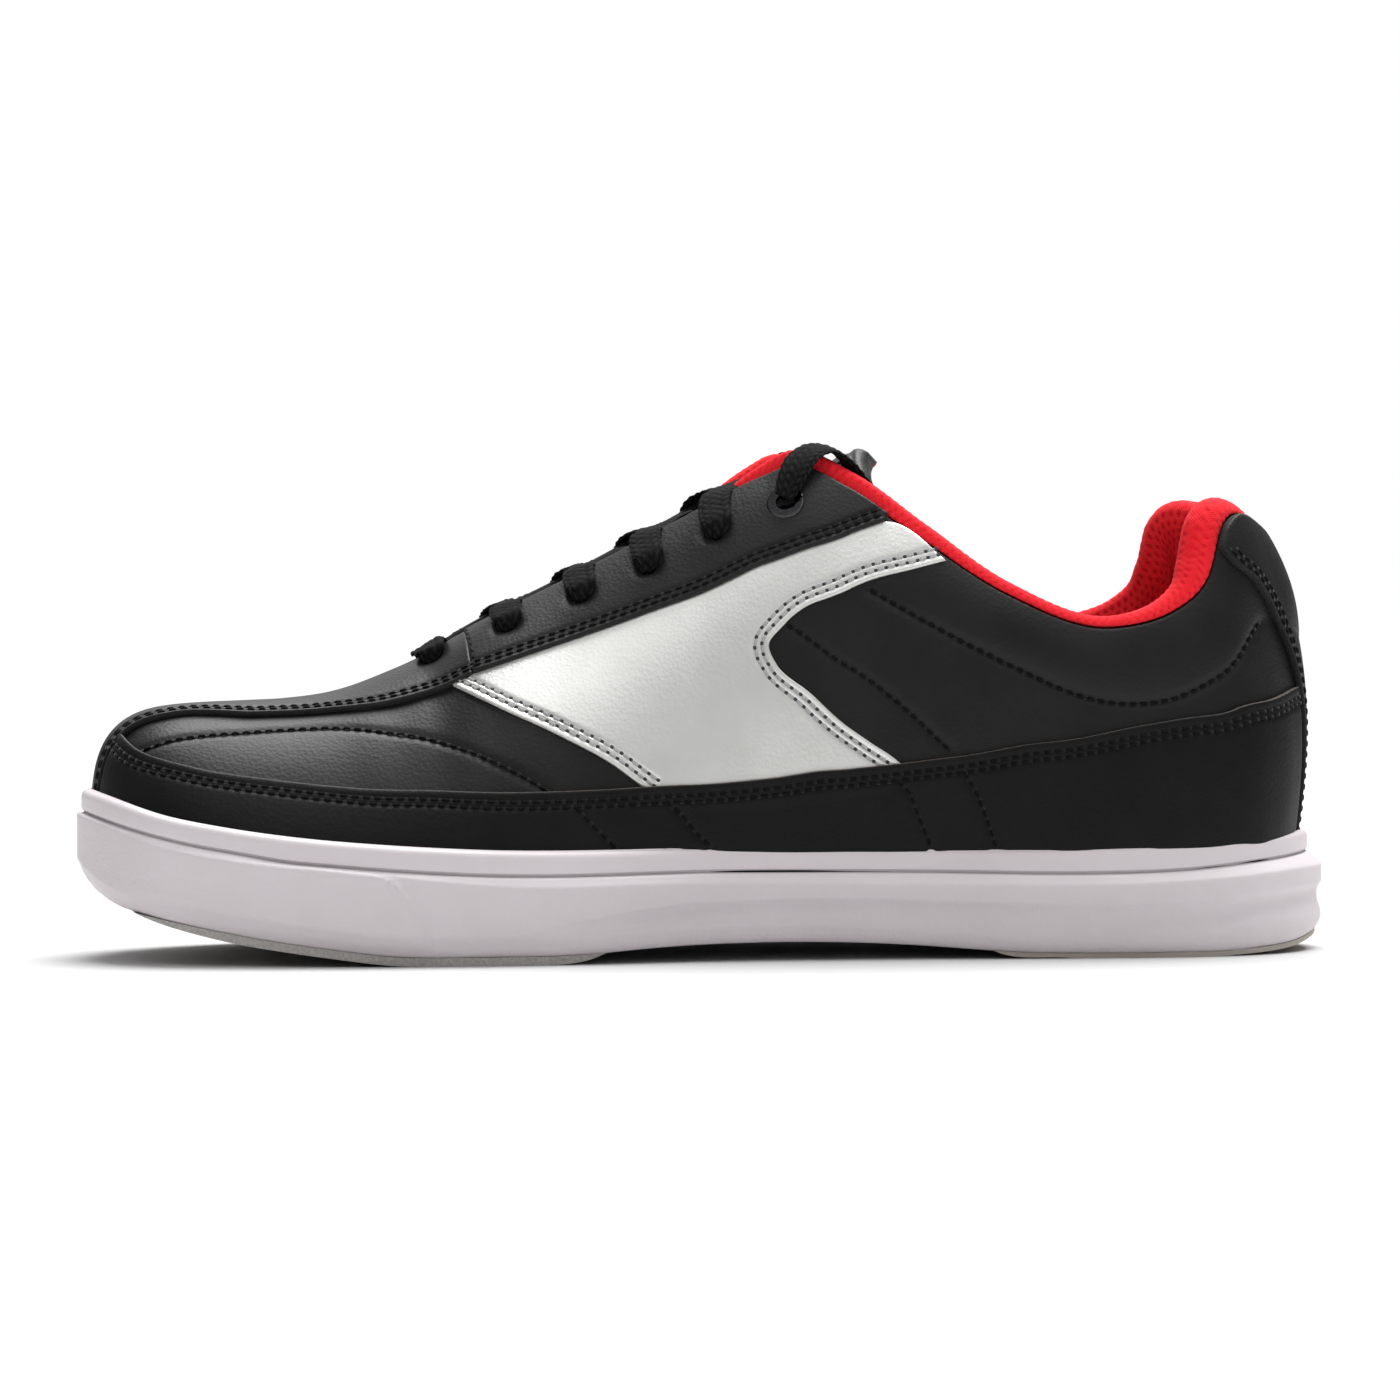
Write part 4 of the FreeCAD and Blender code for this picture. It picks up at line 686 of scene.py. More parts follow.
def stitch_mesh(rows):
    """Points and faces of running stitches. rows: (points on the leather, outward directions), one stitch
    between each two neighbours, with a needle hole at each end, a dark disc: painted shade in the hole."""
    all_points, all_faces, all_slots = [], [], []
    count = 0
    turn = np.linspace(0, 2 * math.pi, STITCH_RING, endpoint=False)
    profile = [(0.10, -0.42, 0.45), (0.20, 0.02, 0.9), (0.36, 0.17, 1.0), (0.64, 0.17, 1.0), (0.80, 0.02, 0.9),
               (0.90, -0.42, 0.45)]
    for line, out in rows:
        start, end = line[:-1], line[1:]
        along = unit(end - start)
        up = unit(out[:-1] + out[1:])
        side = np.cross(along, up)
        rings = []
        for share, rise, girth in profile:
            centre = start * (1 - share) + end * share + up * rise
            rings.append(centre[:, None] + (side[:, None] * np.cos(turn)[None, :, None]
                                            + up[:, None] * np.sin(turn)[None, :, None]) * THREAD_RADIUS * girth)
        block = np.stack(rings, 1)
        n, k = block.shape[0], len(profile)
        quads = grid_quads(k, STITCH_RING, closed_columns=True)
        caps = np.array([[0, 1, 2, 3], [0, 3, 4, 5]])
        one = np.concatenate([quads, caps, caps[:, ::-1] + (k - 1) * STITCH_RING])
        faces = (one[None] + (np.arange(n) * k * STITCH_RING)[:, None, None]).reshape(-1, 4) + count
        all_points.append(block.reshape(-1, 3))
        all_faces.append(faces)
        all_slots.append(np.zeros(len(faces), int))
        count += n * k * STITCH_RING
        along = unit(np.gradient(line, axis=0))
        side = np.cross(along, out)
        # needle hole: a small dark dished disc, painted shade inside the hole
        disc = []
        for radius, rise in ((0.12, 0.07), (0.44, 0.065), (0.52, -0.02), (0.12, -0.12)):
            disc.append((line + out * rise)[:, None] + (along[:, None] * np.cos(turn)[None, :, None] * 1.25
                        + side[:, None] * np.sin(turn)[None, :, None]) * radius)
        block = np.stack(disc, 1)
        n, k = block.shape[0], 4
        quads = grid_quads(k, STITCH_RING, closed_columns=True)
        one = np.concatenate([quads, caps, caps[:, ::-1] + (k - 1) * STITCH_RING])
        faces = (one[None] + (np.arange(n) * k * STITCH_RING)[:, None, None]).reshape(-1, 4) + count
        all_points.append(block.reshape(-1, 3))
        all_faces.append(faces)
        all_slots.append(np.ones(len(faces), int))
        count += n * k * STITCH_RING
    return np.concatenate(all_points), np.concatenate(all_faces), np.concatenate(all_slots)


def stitches(name, lines, materials, body=SHOE, slot="black_leather"):
    """lines: (r, t, height above the surface) arrays or numbers."""
    rows = []
    for r, t, height in lines:
        r, t = even(r, t, PITCH)
        if callable(height):
            height = height(point(r, t), r, t)
        out = normal(r, t)
        rows.append((point(r, t) + out * np.broadcast_to(height, r.shape)[..., None], out))
    points, faces, slots = stitch_mesh(rows)
    return make(name, points, faces, materials, slots, body=body, slot=slot)


def line_points(r, t):
    r, t = even(r, t, 0.5)
    return point(r, t)


# ---- lines of the upper -----------------------------------------------------------------------------
STRIP_EDGE = [(0.026, 0.02), (0.027, 0.35), (0.030, 0.52), (0.040, 0.66), (0.0705, 0.77), (0.170, 0.785),
              (0.2645, 0.765), (0.337, 0.718), (0.3815, 0.705), (0.4125, 0.7246)]
EYESTAY_LOW = on_side([(-57.2, 66.2), (-45.1, 70.4), (-18.8, 79.8), (7.5, 90.9), (20.7, 95.8), (31.8, 99.6),
                       (37.0, 101.4), (38.6, 101.9)])
GUARD_TOP = on_side([(-135.0, 48.3), (-123.4, 44.7), (-104.4, 41.8), (-77.0, 39.7), (-48.0, 39.3), (-19.5, 40.5),
                     (20.0, 43.9), (53.4, 47.2), (76.0, 50.6), (98.3, 54.3), (110.0, 56.1), (122.0, 58.2),
                     (129.0, 59.8), (136.0, 61.6)])
STRIPE_FRONT = on_side([(-16.5, 38.0), (-21.4, 41.6), (-26.3, 45.3), (-39.3, 52.5), (-52.3, 58.6), (-62.0, 63.4),
                        (-67.5, 66.0)])
STRIPE_REAR = on_side([(43.5, 43.6), (39.5, 47.0), (33.7, 50.8), (20.5, 61.5), (11.8, 69.0), (10.2, 73.3),
                       (14.0, 78.2), (24.0, 84.2), (35.0, 88.6), (50.0, 92.3), (53.0, 93.1)])
GUARD_LINE = [(0.0315, 0.56)] + GUARD_TOP + [(0.9855, 0.505)]
TAB_HALF = [(0.02, 0.011), (0.45, 0.011), (0.56, 0.014), (0.68, 0.020), (0.80, 0.032), (0.90, 0.045), (1.0, 0.052)]
EYELETS = [(0.3824, 0.895), (0.4451, 0.874), (0.5039, 0.859), (0.5553, 0.850), (0.6017, 0.857), (0.6511, 0.868)]
# seams sewn through the leather, (x, z) on the medial side
TOE_ARC = on_side([(-135.1, 49.1), (-127.1, 51.7), (-110.0, 53.3), (-89.7, 54.3), (-76.8, 53.1), (-67.1, 51.3),
                   (-58.6, 48.4), (-51.9, 45.4), (-42.2, 39.8)])
GUARD_SEAMS = [on_side(line) for line in (
    [(-36.3, 36.3), (-32.4, 32.0), (-26.5, 26.4)],
    [(-15.4, 37.3), (-11.5, 34.4), (-8.2, 30.5), (-4.3, 26.9)],
    [(39.9, 42.0), (42.8, 39.2), (44.8, 34.4), (48.1, 26.3)],
    [(55.8, 44.0), (58.3, 39.9), (61.1, 33.5), (63.7, 25.8)])]
QUARTER_SEAMS = [on_side(line) for line in (
    [(14.2, 78.5), (20.2, 74.6), (33.4, 65.7), (41.5, 59.3), (52.9, 48.8)],
    [(34.5, 86.6), (50.0, 77.7), (66.3, 69.2), (82.7, 61.9), (99.1, 59.5), (107.4, 60.8), (115.6, 64.3),
     (123.9, 70.4), (130.1, 78.5)])]
EDGE_T, TUCK = 0.998, 0.02
SEAM_S, PANEL_GAP, TOE_SEAM, HEEL_SEAM = 0.578, 0.0025, 0.004, 0.996
FIRST_QUARTER_EYELET = 4
STRIPE_HUG = 3
STRIPE_TOP, STAY_TOP, STRIP_TOP, GUARD_HEIGHT, TAB_TOP = 1.0, 1.9, 1.5, 1.6, 2.5
HOLE_RADIUS, RING_HOLE_RADIUS = 2.3, 3.0


def eyelet_holes(side, eyelets, radius=None):
    holes = []
    for index in eyelets:
        r, t = mirrored([EYELETS[index]], side)[0]
        size = radius or (RING_HOLE_RADIUS if index == len(EYELETS) - 1 else HOLE_RADIUS)
        holes.append((point(r, t), normal(r, t), size))
    return holes


def hole_dents(points, side, eyelets):
    """The lace pulls the leather in round its holes."""
    dent = np.zeros(len(points))
    for index in eyelets:
        r, t = mirrored([EYELETS[index]], side)[0]
        distance = np.linalg.norm(points - point(r, t), axis=1)
        dent = dent + 0.5 * np.exp(-(np.maximum(distance - 2.0, 0) / 1.6) ** 2)
    return dent


def puff(points, r, t):
    """Padding pushes the collar's leather out above its seam."""
    s = np.minimum(r, 2 - r)
    seam = track([(s0, t0) for s0, t0 in QUARTER_SEAMS[1]], np.clip(s, 0.715, 0.985))
    share = np.clip((t - seam) / (1.0 - seam), 0, 1)
    return 1.3 * np.sin(math.pi * share) ** 0.8 * ease(0.70, 0.80, s)


def creases(points, r, t):
    """Faint flex waves behind the toes."""
    wave = 0.10 * np.sin(points[:, 0] / 3.1 + 0.06 * points[:, 2]) + 0.07 * np.sin(points[:, 0] / 1.9 + 1.0)
    return wave * np.exp(-((points[:, 0] + 62.0) / 24.0) ** 2)


# ---- the panels -------------------------------------------------------------------------------------
def base_place(side, start, end, low=TUCK, high=EDGE_T):
    ends = mirrored([(start, low), (end, low), (start, high), (end, high)], side)
    return patch(straight_line(ends[0], ends[1]), straight_line(ends[2], ends[3]))


def both_sides():
    last = len(EYELETS) - 1
    for name, side in SIDES:
        toe_seam = line_points(*dense(mirrored(TOE_ARC, side)))
        panel("toe_panel_" + name, base_place(side, TOE_SEAM, SEAM_S - PANEL_GAP), 0.0, -1.2,
              ("black", "black_edge"), grooves=[(toe_seam, 0.45, 1.3)],
              lift=lambda p, r, t: creases(p, r, t), holes=eyelet_holes(side, range(FIRST_QUARTER_EYELET)),
              slot="black_leather", replaces=("toe_panel_" + name,))
        seams = [line_points(*dense(mirrored(seam, side))) for seam in QUARTER_SEAMS]
        panel("quarter_" + name, base_place(side, SEAM_S, HEEL_SEAM), 0.0, -1.2, ("black", "black_edge"),
              spacing=0.8, grooves=[(seam, 0.45, 1.3) for seam in seams], lift=puff,
              holes=eyelet_holes(side, range(FIRST_QUARTER_EYELET, last + 1)), slot="black_leather",
              replaces=("quarter_" + name,))
        stripe(name, side)
        guard(name, side)
        eyestay(name, side)
        lining_top = [(0.372, 0.965), (0.45, 0.965), (0.52, 0.960), (0.575, 0.940), (0.600, 0.820), (0.611, 0.690),
                      (0.630, 0.615), (0.70, 0.60), (0.80, 0.60), (0.90, 0.60), (0.996, 0.60)]
        foot = [(s, TUCK) for s, t in lining_top]
        panel("quarter_lining_" + name, patch(smooth(mirrored(foot, side)), smooth(mirrored(lining_top, side))),
              -2.3, -3.1, ("lining", "lining"), spacing=1.4, holes=eyelet_holes(side, range(last)),
              slot="lining_cloth", replaces=("quarter_lining_" + name,))
        black = [(*dense(mirrored(TOE_ARC, side)), -0.22)]
        black += [(*dense(mirrored(seam, side)), lambda p, r, t: puff(p, r, t) - 0.22) for seam in QUARTER_SEAMS]
        stitches("seam_stitches_" + name, black, ("black_thread", "hole"))


def guard_lift(side):
    """The mudguard climbs over the end of the silver stripe."""
    front, rear = STRIPE_FRONT[1][0], STRIPE_REAR[1][0]
    guard_t = [(s, t) for s, t in GUARD_LINE]

    def lift(points, r, t):
        s = np.minimum(r, 2 - r)
        near = ease(front - 0.012, front + 0.004, s) * (1 - ease(rear - 0.004, rear + 0.012, s))
        below = track(guard_t, s) - t
        return 0.55 * near * (1 - ease(0.02, 0.07, below)) - 0.10 * ease(0.05, 0.3, below)

    return lift


def guard(name, side):
    line = mirrored(GUARD_LINE, side)
    foot = [(r, TUCK) for r, t in line]
    r, t = dense(line)
    sign = 1 if side < 0 else -1
    rows = [shifted(r, t, -sign * gap) for gap in (2.4, 3.9)]
    seams = [dense(mirrored(seam, side)) for seam in GUARD_SEAMS]
    grooves = [(line_points(*row), 0.30, 0.75) for row in rows] + [(line_points(*seam), 0.35, 1.1) for seam in seams]
    lift = guard_lift(side)
    panel("mudguard_" + name, patch(smooth(foot), smooth(line)), GUARD_HEIGHT, 0.1, ("guard", "tan_edge"),
          spacing=0.6, grooves=grooves, lift=lift, slot="guard_leather", replaces=("mudguard_" + name,))
    lines = [(*row, lambda p, r, t: GUARD_HEIGHT - 0.24 + lift(p, r, t)) for row in rows]
    lines += [(*seam, lambda p, r, t: GUARD_HEIGHT - 0.28 + lift(p, r, t)) for seam in seams]
    stitches("mudguard_stitches_" + name, lines, ("black_thread", "hole"), slot="guard_leather")


def eyestay(name, side):
    low = list(EYESTAY_LOW)
    low[0] = (STRIP_EDGE[-1][0] + 0.0004, low[0][1])
    high = [(mix(low[0][0], 0.7245, share), EDGE_T) for share in np.linspace(0, 1, 9)]
    low, high = mirrored(low, side), mirrored(high, side)
    sign = 1 if side < 0 else -1
    r, t = dense(low)
    rows = [shifted(r, t, sign * gap) for gap in (1.6, 3.0)]
    grooves = [(line_points(*row), 0.32, 0.70) for row in rows]
    holes = eyelet_holes(side, range(1, len(EYELETS)))
    panel("eyestay_" + name, patch(smooth(low), smooth(high)), STAY_TOP, 0.1, ("black", "black_edge"), spacing=0.6,
          grooves=grooves, lift=lambda p, r, t: -hole_dents(p, side, range(1, len(EYELETS) - 1)) + 0.2, holes=holes,
          slot="black_leather", replaces=("eyestay_" + name,))
    seam = dense([(low[0][0], mix(low[0][1], EDGE_T, share)) for share in (0.03, 0.3, 0.6, 0.97)])
    seam = shifted(*seam, -sign * 0.7)
    stitches("eyestay_stitches_" + name,
             [(*row, STAY_TOP - 0.05) for row in rows] + [(*seam, STAY_TOP)], ("black_thread", "hole"))


def stripe(name, side):
    """Silver saddle stripe: slanted front edge, notched rear edge."""
    front, rear = STRIPE_FRONT, STRIPE_REAR
    low = [(front[0][0], front[0][1])]
    low += [(s, t - 0.040) for s, t in GUARD_LINE if front[0][0] + 0.01 < s < rear[0][0] - 0.01] + [rear[0]]
    high = [front[-1]] + [(s, t + 0.028) for s, t in EYESTAY_LOW if front[-1][0] + 0.01 < s < 0.70]
    high += [(0.735, EDGE_T), rear[-1]]
    low, high, front, rear = (mirrored(line, side) for line in (low, high, front, rear))
    sign = 1 if side < 0 else -1
    rows = []
    for line, turn in ((front, 1), (rear, -1)):
        trimmed = dense(line)
        rows += [shifted(*trimmed, -turn * sign * gap) for gap in (1.7, 3.3)]
    rows = [(r[14:-6], t[14:-6]) for r, t in rows]
    grooves = [(line_points(*row), 0.28, 0.65) for row in rows]
    panel("stripe_" + name, patch(smooth(low), smooth(high), smooth(front), smooth(rear), STRIPE_HUG), STRIPE_TOP, 0.05,
          ("silver", "white_edge"), spacing=0.6, grooves=grooves, slot="silver_leather", replaces=("stripe_" + name,))
    stitches("stripe_stitches_" + name, [(*row, STRIPE_TOP - 0.22) for row in rows], ("silver_thread", "grey_hole_shade"),
             slot="silver_leather")


def heel_tab():
    edge = [(1 - half, t) for t, half in TAB_HALF]
    other = [(1 + half, t) for t, half in TAB_HALF]
    rows = []
    for line, turn in ((edge, 1), (other, -1)):
        r, t = dense(line)
        rows += [shifted(r, t, -turn * gap) for gap in (1.4, 2.8)]
    rows = [(r[10:-8], t[10:-8]) for r, t in rows]
    grooves = [(line_points(*row), 0.25, 0.65) for row in rows]

    panel("heel_tab", patch(smooth(edge), smooth(other)), TAB_TOP - 0.7, 0.1, ("black", "black_edge"), spacing=0.6,
          grooves=grooves, lift=puff,
          slot="black_leather", replaces=("heel_tab",))
    stitches("heel_tab_stitches",
             [(*row, lambda p, r, t: TAB_TOP - 0.9 + puff(p, r, t)) for row in rows],
             ("black_thread", "hole"))


def vamp_strip():
    """Strip from the sole over the toe to the lace opening: two halves that meet on the centre line."""
    edge = smooth(STRIP_EDGE)
    rows, half_columns = 260, 52
    share = np.linspace(0, 1, rows)
    s, t = edge(share)
    medial, lateral = point(s, t), point(2 - s, t)
    along = np.gradient(medial + lateral, axis=0) * np.array([1.0, 0.0, 1.0])
    along = unit(mix(unit(along), np.array([1.0, 0.0, 0.0]), ease(-80, -64, medial[:, :1])))
    centre_y = (medial[:, 1] + lateral[:, 1]) / 2
    centre_level = ((medial + lateral) / 2 * along).sum(1)
    columns = np.concatenate([[0.0, 0.004, 0.011, 0.022], np.linspace(0.034, 1, half_columns - 4)])
    drops = np.concatenate([[0.42, 0.17, 0.04, 0.0], np.zeros(half_columns - 4)])
    layers = []
    for side, foot in ((-1, medial), (1, lateral)):
        level0 = (foot * along).sum(1)
        # the end of each row: the centre line, or the edge of the lace opening where there is one
        low = np.full(rows, SLIT_START)
        high = np.full(rows, 0.47)
        for _ in range(30):
            guess = (low + high) / 2
            short = (point(guess if side < 0 else 2 - guess, EDGE_T) * along).sum(1) < centre_level
            low, high = np.where(short, guess, low), np.where(short, high, guess)
        opened = low > SLIT_START + 1e-4
        rim = point(low if side < 0 else 2 - low, EDGE_T)
        goal_y = np.where(opened, rim[:, 1], centre_y)
        goal_level = np.where(opened, (rim * along).sum(1), centre_level)
        r, tt = (s if side < 0 else 2 - s), t.copy()
        grid_r, grid_t = [], []
        for k in columns:
            level, y = mix(level0, goal_level, k), mix(foot[:, 1], goal_y, k)
            r, tt = locate(lambda p: ((p * along).sum(-1) - level, p[..., 1] - y), r, tt, side, 7)
            grid_r.append(r)
            grid_t.append(tt)
        grid_r, grid_t = np.stack(grid_r, 1), np.minimum(np.stack(grid_t, 1), 1.0)
        layers.append((grid_r, grid_t, opened))
    return share, columns, drops, layers


def build_strip():
    share, columns, drops, layers = vamp_strip()
    rows = len(share)
    edge_rows = [dense(mirrored(STRIP_EDGE, side)) for _, side in SIDES]
    stitched, grooves = [], []
    for (r, t), sign in zip(edge_rows, (1, -1)):
        for gap in (1.6, 3.0):
            row = shifted(r, t, sign * gap)
            row = (row[0][30:], row[1][30:])
            stitched.append(row)
            grooves.append((line_points(*row), 0.30, 0.70))
    outer, inner, out_all, drop_all = [], [], [], []
    for (r, t, opened), (_, side) in zip(layers, SIDES):
        r, t = r.ravel(), t.ravel()
        base, out = point(r, t), normal(r, t)
        drop = np.broadcast_to(drops[None], (rows, len(columns))).copy()
        drop[opened, -1] = 0.42
        drop[0] = drop[-1] = 0.42
        height = STRIP_TOP + 0.2 * ease(-95, -70, base[:, 0]) - drop.ravel() - dimple(base, grooves)
        height = height - hole_dents(base, side, [0])
        outer.append(base + out * height[:, None])
        inner.append(base + out * 0.1)
        out_all.append(out)
    size = rows * len(columns)
    quads = [grid_quads(rows, len(columns)), grid_quads(rows, len(columns))[:, ::-1] + size]
    # weld the halves on the centre line, up to the lace opening
    opened = layers[0][2] | layers[1][2]
    twin = np.arange(2 * size)
    last = np.arange(rows) * len(columns) + len(columns) - 1
    closed_rows = last[~opened]
    twin[closed_rows + size] = closed_rows
    outer, inner, out = np.concatenate(outer), np.concatenate(inner), np.concatenate(out_all)
    for grid in (outer, inner):
        grid[closed_rows] = (grid[closed_rows] + grid[closed_rows + size]) / 2
    quads = twin[np.concatenate(quads)]
    holes = eyelet_holes(-1, [0]) + eyelet_holes(1, [0])
    for hole in holes:
        outer, inner, quads = punch(outer, inner, quads, [hole])
    points, faces, tags, _, _ = closed_skin(outer, inner, quads, out)
    make("vamp_strip", points, faces, ("black", "black_edge"), (tags == 2).astype(int), slot="black_leather",
         replaces=("vamp_strip",))
    stitches("vamp_strip_stitches", [(r, t, lambda p, r, t: STRIP_TOP - 0.24 + 0.2 * ease(-95, -70, p[:, 0]))
                                     for r, t in stitched], ("black_thread", "hole"))


# ---- padded collar ----------------------------------------------------------------------------------
COLLAR_START, COLLAR_LOW_T, CLOTH, ROLL_START, COLLAR_GAP = 0.615, 0.64, 0.8, 0.35, 1.75
ROLL_RISE = [(0.60, 1.2), (0.615, 2.8), (0.640, 4.4), (0.665, 4.3), (0.695, 3.6), (0.72, 3.0), (0.745, 2.2),
             (0.80, 1.1), (0.88, 0.7), (0.92, 1.4), (0.945, 2.8), (0.962, 2.2), (0.978, 0.8), (1.0, 0.6)]
ROLL_RADIUS = [(0.60, 2.2), (0.745, 2.2), (0.80, 2.4), (0.88, 2.6), (0.92, 3.8), (0.945, 4.4), (0.962, 4.2),
               (0.978, 3.7), (1.0, 3.6)]
ROLL_UPRIGHT = [(0.60, 0.6), (0.68, 0.6), (0.74, 0.2), (0.80, 0.0), (1.0, 0.0)]
PADDING = [(0.60, 1.6), (0.68, 2.6), (0.75, 3.8), (0.83, 5.0), (0.92, 6.0), (1.0, 6.5)]
KNIT_PITCH = 2.1


def padding(r, t):
    full = track(PADDING, np.minimum(r, 2 - r))
    return full * (0.25 + 0.75 * np.sin(math.pi / 2 * (t - COLLAR_LOW_T) / (1 - COLLAR_LOW_T)))


def mesh_holes(u, v):
    """Rows of round hollows set like bricks, 0 on the cloth and 1 in a hollow; u and v in millimetres."""
    # the knit material also darkens its colour by this value: painted shade in the hollows
    row = v / (KNIT_PITCH * 0.86)
    lane = np.round(row)
    across = u / KNIT_PITCH + 0.5 * (lane % 2)
    du = (across - np.round(across)) * KNIT_PITCH
    dv = (row - lane) * KNIT_PITCH * 0.86
    return np.exp(-((du / 0.50) ** 2 + (dv / 0.58) ** 2))


def collar():
    coarse = np.linspace(COLLAR_START, 2 - COLLAR_START, 121)
    place = np.minimum(coarse, 2 - coarse)
    head, out = point(coarse, 1.0), normal(coarse, 1.0)
    rise = unit(np.cross(out, point(coarse + 0.001, 1.0) - point(coarse - 0.001, 1.0)))
    rise = np.where(rise[:, 2:] < 0, -rise, rise)
    upright = track(ROLL_UPRIGHT, place)[:, None]
    lift = unit(rise * (1 - upright) + UP * upright)
    radius = track(ROLL_RADIUS, place)
    centre = head + lift * track(ROLL_RISE, place)[:, None] - out * (radius + 0.1)[:, None]
    sections = {}
    for depth in (0.0, CLOTH):
        rows = [head + lift * ROLL_START - out * (0.1 + depth)]
        for angle in (10, 35, 60, 85, 110, 135, 165):
            turn = math.radians(angle)
            rows.append(centre + (out * math.cos(turn) + rise * math.sin(turn)) * (radius - depth)[:, None])
        for t in (0.95, 0.88, 0.80, 0.72, COLLAR_LOW_T):
            rows.append(layer(coarse, np.full_like(coarse, t), -(COLLAR_GAP + padding(coarse, t) + CLOTH - depth)))
        sections[depth] = np.stack(rows, 1)
    spans = np.linalg.norm(np.diff(sections[0.0], axis=1), axis=-1).mean(0)
    marks = np.concatenate([[0.0], np.cumsum(spans)])
    length = np.concatenate([[0.0], np.cumsum(np.linalg.norm(np.diff(centre, axis=0), axis=-1))])
    nu, nv = int(length[-1] / 0.46), int(marks[-1] / 0.46)
    u, v = np.linspace(0, length[-1], nu), np.linspace(0, marks[-1], nv)

    def refine(grid):
        first = np.stack([[track(list(zip(marks, line[:, k])), v) for k in range(3)] for line in grid])
        return np.stack([np.stack([track(list(zip(length, first[:, k, j])), u) for j in range(nv)], 1)
                         for k in range(3)], -1)

    outer, inner = refine(sections[0.0]), refine(sections[CLOTH])
    out = unit(np.cross(np.gradient(outer, axis=0), np.gradient(outer, axis=1)))
    if np.sum(out * (outer - inner)) < 0:
        out = -out
    uu, vv = np.meshgrid(u, v, indexing="ij")
    hollow = mesh_holes(uu, vv)
    # the roll is a closer knit than the inside
    roll = 1 - ease(marks[5], marks[7], vv)
    rib = 0.5 + 0.5 * np.cos(2 * math.pi * (vv / 1.7 + 0.25 * np.sin(2 * math.pi * uu / 1.9)))
    hollow = hollow * (1 - 0.45 * roll) + 0.35 * roll * (1 - rib)
    bump = 0.30 * (0.5 - hollow) + 0.35 * np.exp(-(((uu % 37.0) - 18.0) / 9.0) ** 2) * 0.3
    outer = outer + out * bump[..., None]
    outer_flat, inner_flat = outer.reshape(-1, 3), inner.reshape(-1, 3)
    quads = grid_quads(nu, nv)
    holes = eyelet_holes(-1, [5], 2.9) + eyelet_holes(1, [5], 2.9)
    flat_out = out.reshape(-1, 3)
    keep = np.ones(len(quads), bool)
    for centre_point, axis, radius_hole in holes:
        offset = outer_flat - centre_point
        off = offset - (offset @ axis)[:, None] * axis
        inside = (np.linalg.norm(off, axis=1) < radius_hole) & (np.abs(offset @ axis) < 8)
        keep &= ~inside[quads].all(axis=1)
    points, faces, tags, used, _ = closed_skin(outer_flat, inner_flat, quads[keep], flat_out)
    # the hollow attribute makes the knit material paint shade into the holes and rib valleys
    shade = np.concatenate([hollow.ravel()[used]] * 2)
    uv = np.concatenate([np.stack([uu.ravel(), vv.ravel()], 1)[used]] * 2)
    obj = make("collar_lining", points, faces, ("red",), slot="lining_cloth",
               replaces=("collar_lining", "collar_foam"), attributes={"hollow": shade}, uv=uv)


# ---- tongue -----------------------------------------------------------------------------------------
TONGUE_STATIONS = [(-60.0, 15.0), (-52.0, 18.0), (-44.0, 20.5), (-35.0, 22.5), (-26.0, 23.5), (-17.0, 24.0),
                   (-8.0, 23.5), (1.0, 22.5), (10.0, 21.0), (18.0, 19.3)]
TONGUE_END, TONGUE_TILT = [(6.0, 4.8, 20.5, 6.0), (11.5, 8.8, 21.3, 9.0), (16.0, 11.4, 21.0, 12.0)], 0.6
TONGUE_DEPTH = [(-60.0, 6.6), (-10.0, 6.8), (8.0, 9.0), (60.0, 9.2)]
TONGUE_THICK = 6.2


def tongue_rows(columns):
    rows = []
    for x, half in TONGUE_STATIONS:
        low, high = SLIT_START, 0.74
        for _ in range(30):
            s = (low + high) / 2
            if point(s, 1.0)[0] < x:
                low = s
            else:
                high = s
        medial, lateral = point(low, 1.0), point(2 - low, 1.0)
        middle = float(track(MIDDLE, x))
        centre, half_gap = (medial[1] + lateral[1]) / 2, (lateral[1] - medial[1]) / 2
        arch = 0.25 * math.tan(math.radians(float(track(SLOPE, low)))) * half_gap
        row = []
        for v in columns:
            y = middle + half * v
            if medial[1] < y < lateral[1]:
                z = medial[2] + arch * (1 - ((y - centre) / half_gap) ** 2)
            else:
                side = -1 if y <= medial[1] else 1
                r, t = locate(lambda p: (p[..., 0] - x, p[..., 1] - y), np.array([low if side < 0 else 2 - low]),
                              np.array([0.97]), side)
                z = float(point(r, t)[0, 2])
            row.append((x, y, z))
        rows.append(np.array(row))
    last = rows[-1]
    centre = last[len(last) // 2]
    for step, rise, half, fall in TONGUE_END:
        sag = fall * columns ** 2
        rows.append(centre + np.stack([step + TONGUE_TILT * sag, half * columns, rise - sag], 1))
    return np.stack(rows)


def resample(grid, rows, columns):
    """Smooth finer grid through a grid of points."""
    def stretch(block, count):
        spans = np.linalg.norm(np.diff(block, axis=0), axis=-1).mean(1)
        marks = np.concatenate([[0.0], np.cumsum(spans)])
        fine = np.linspace(0, marks[-1], count)
        flat = block.reshape(len(block), -1)
        return np.stack([track(list(zip(marks, flat[:, k])), fine) for k in range(flat.shape[1])], 1).reshape(
            count, *block.shape[1:])

    return stretch(stretch(grid, rows).swapaxes(0, 1), columns).swapaxes(0, 1)


WRAP = 0.88   # share of the edge that the face's leather covers


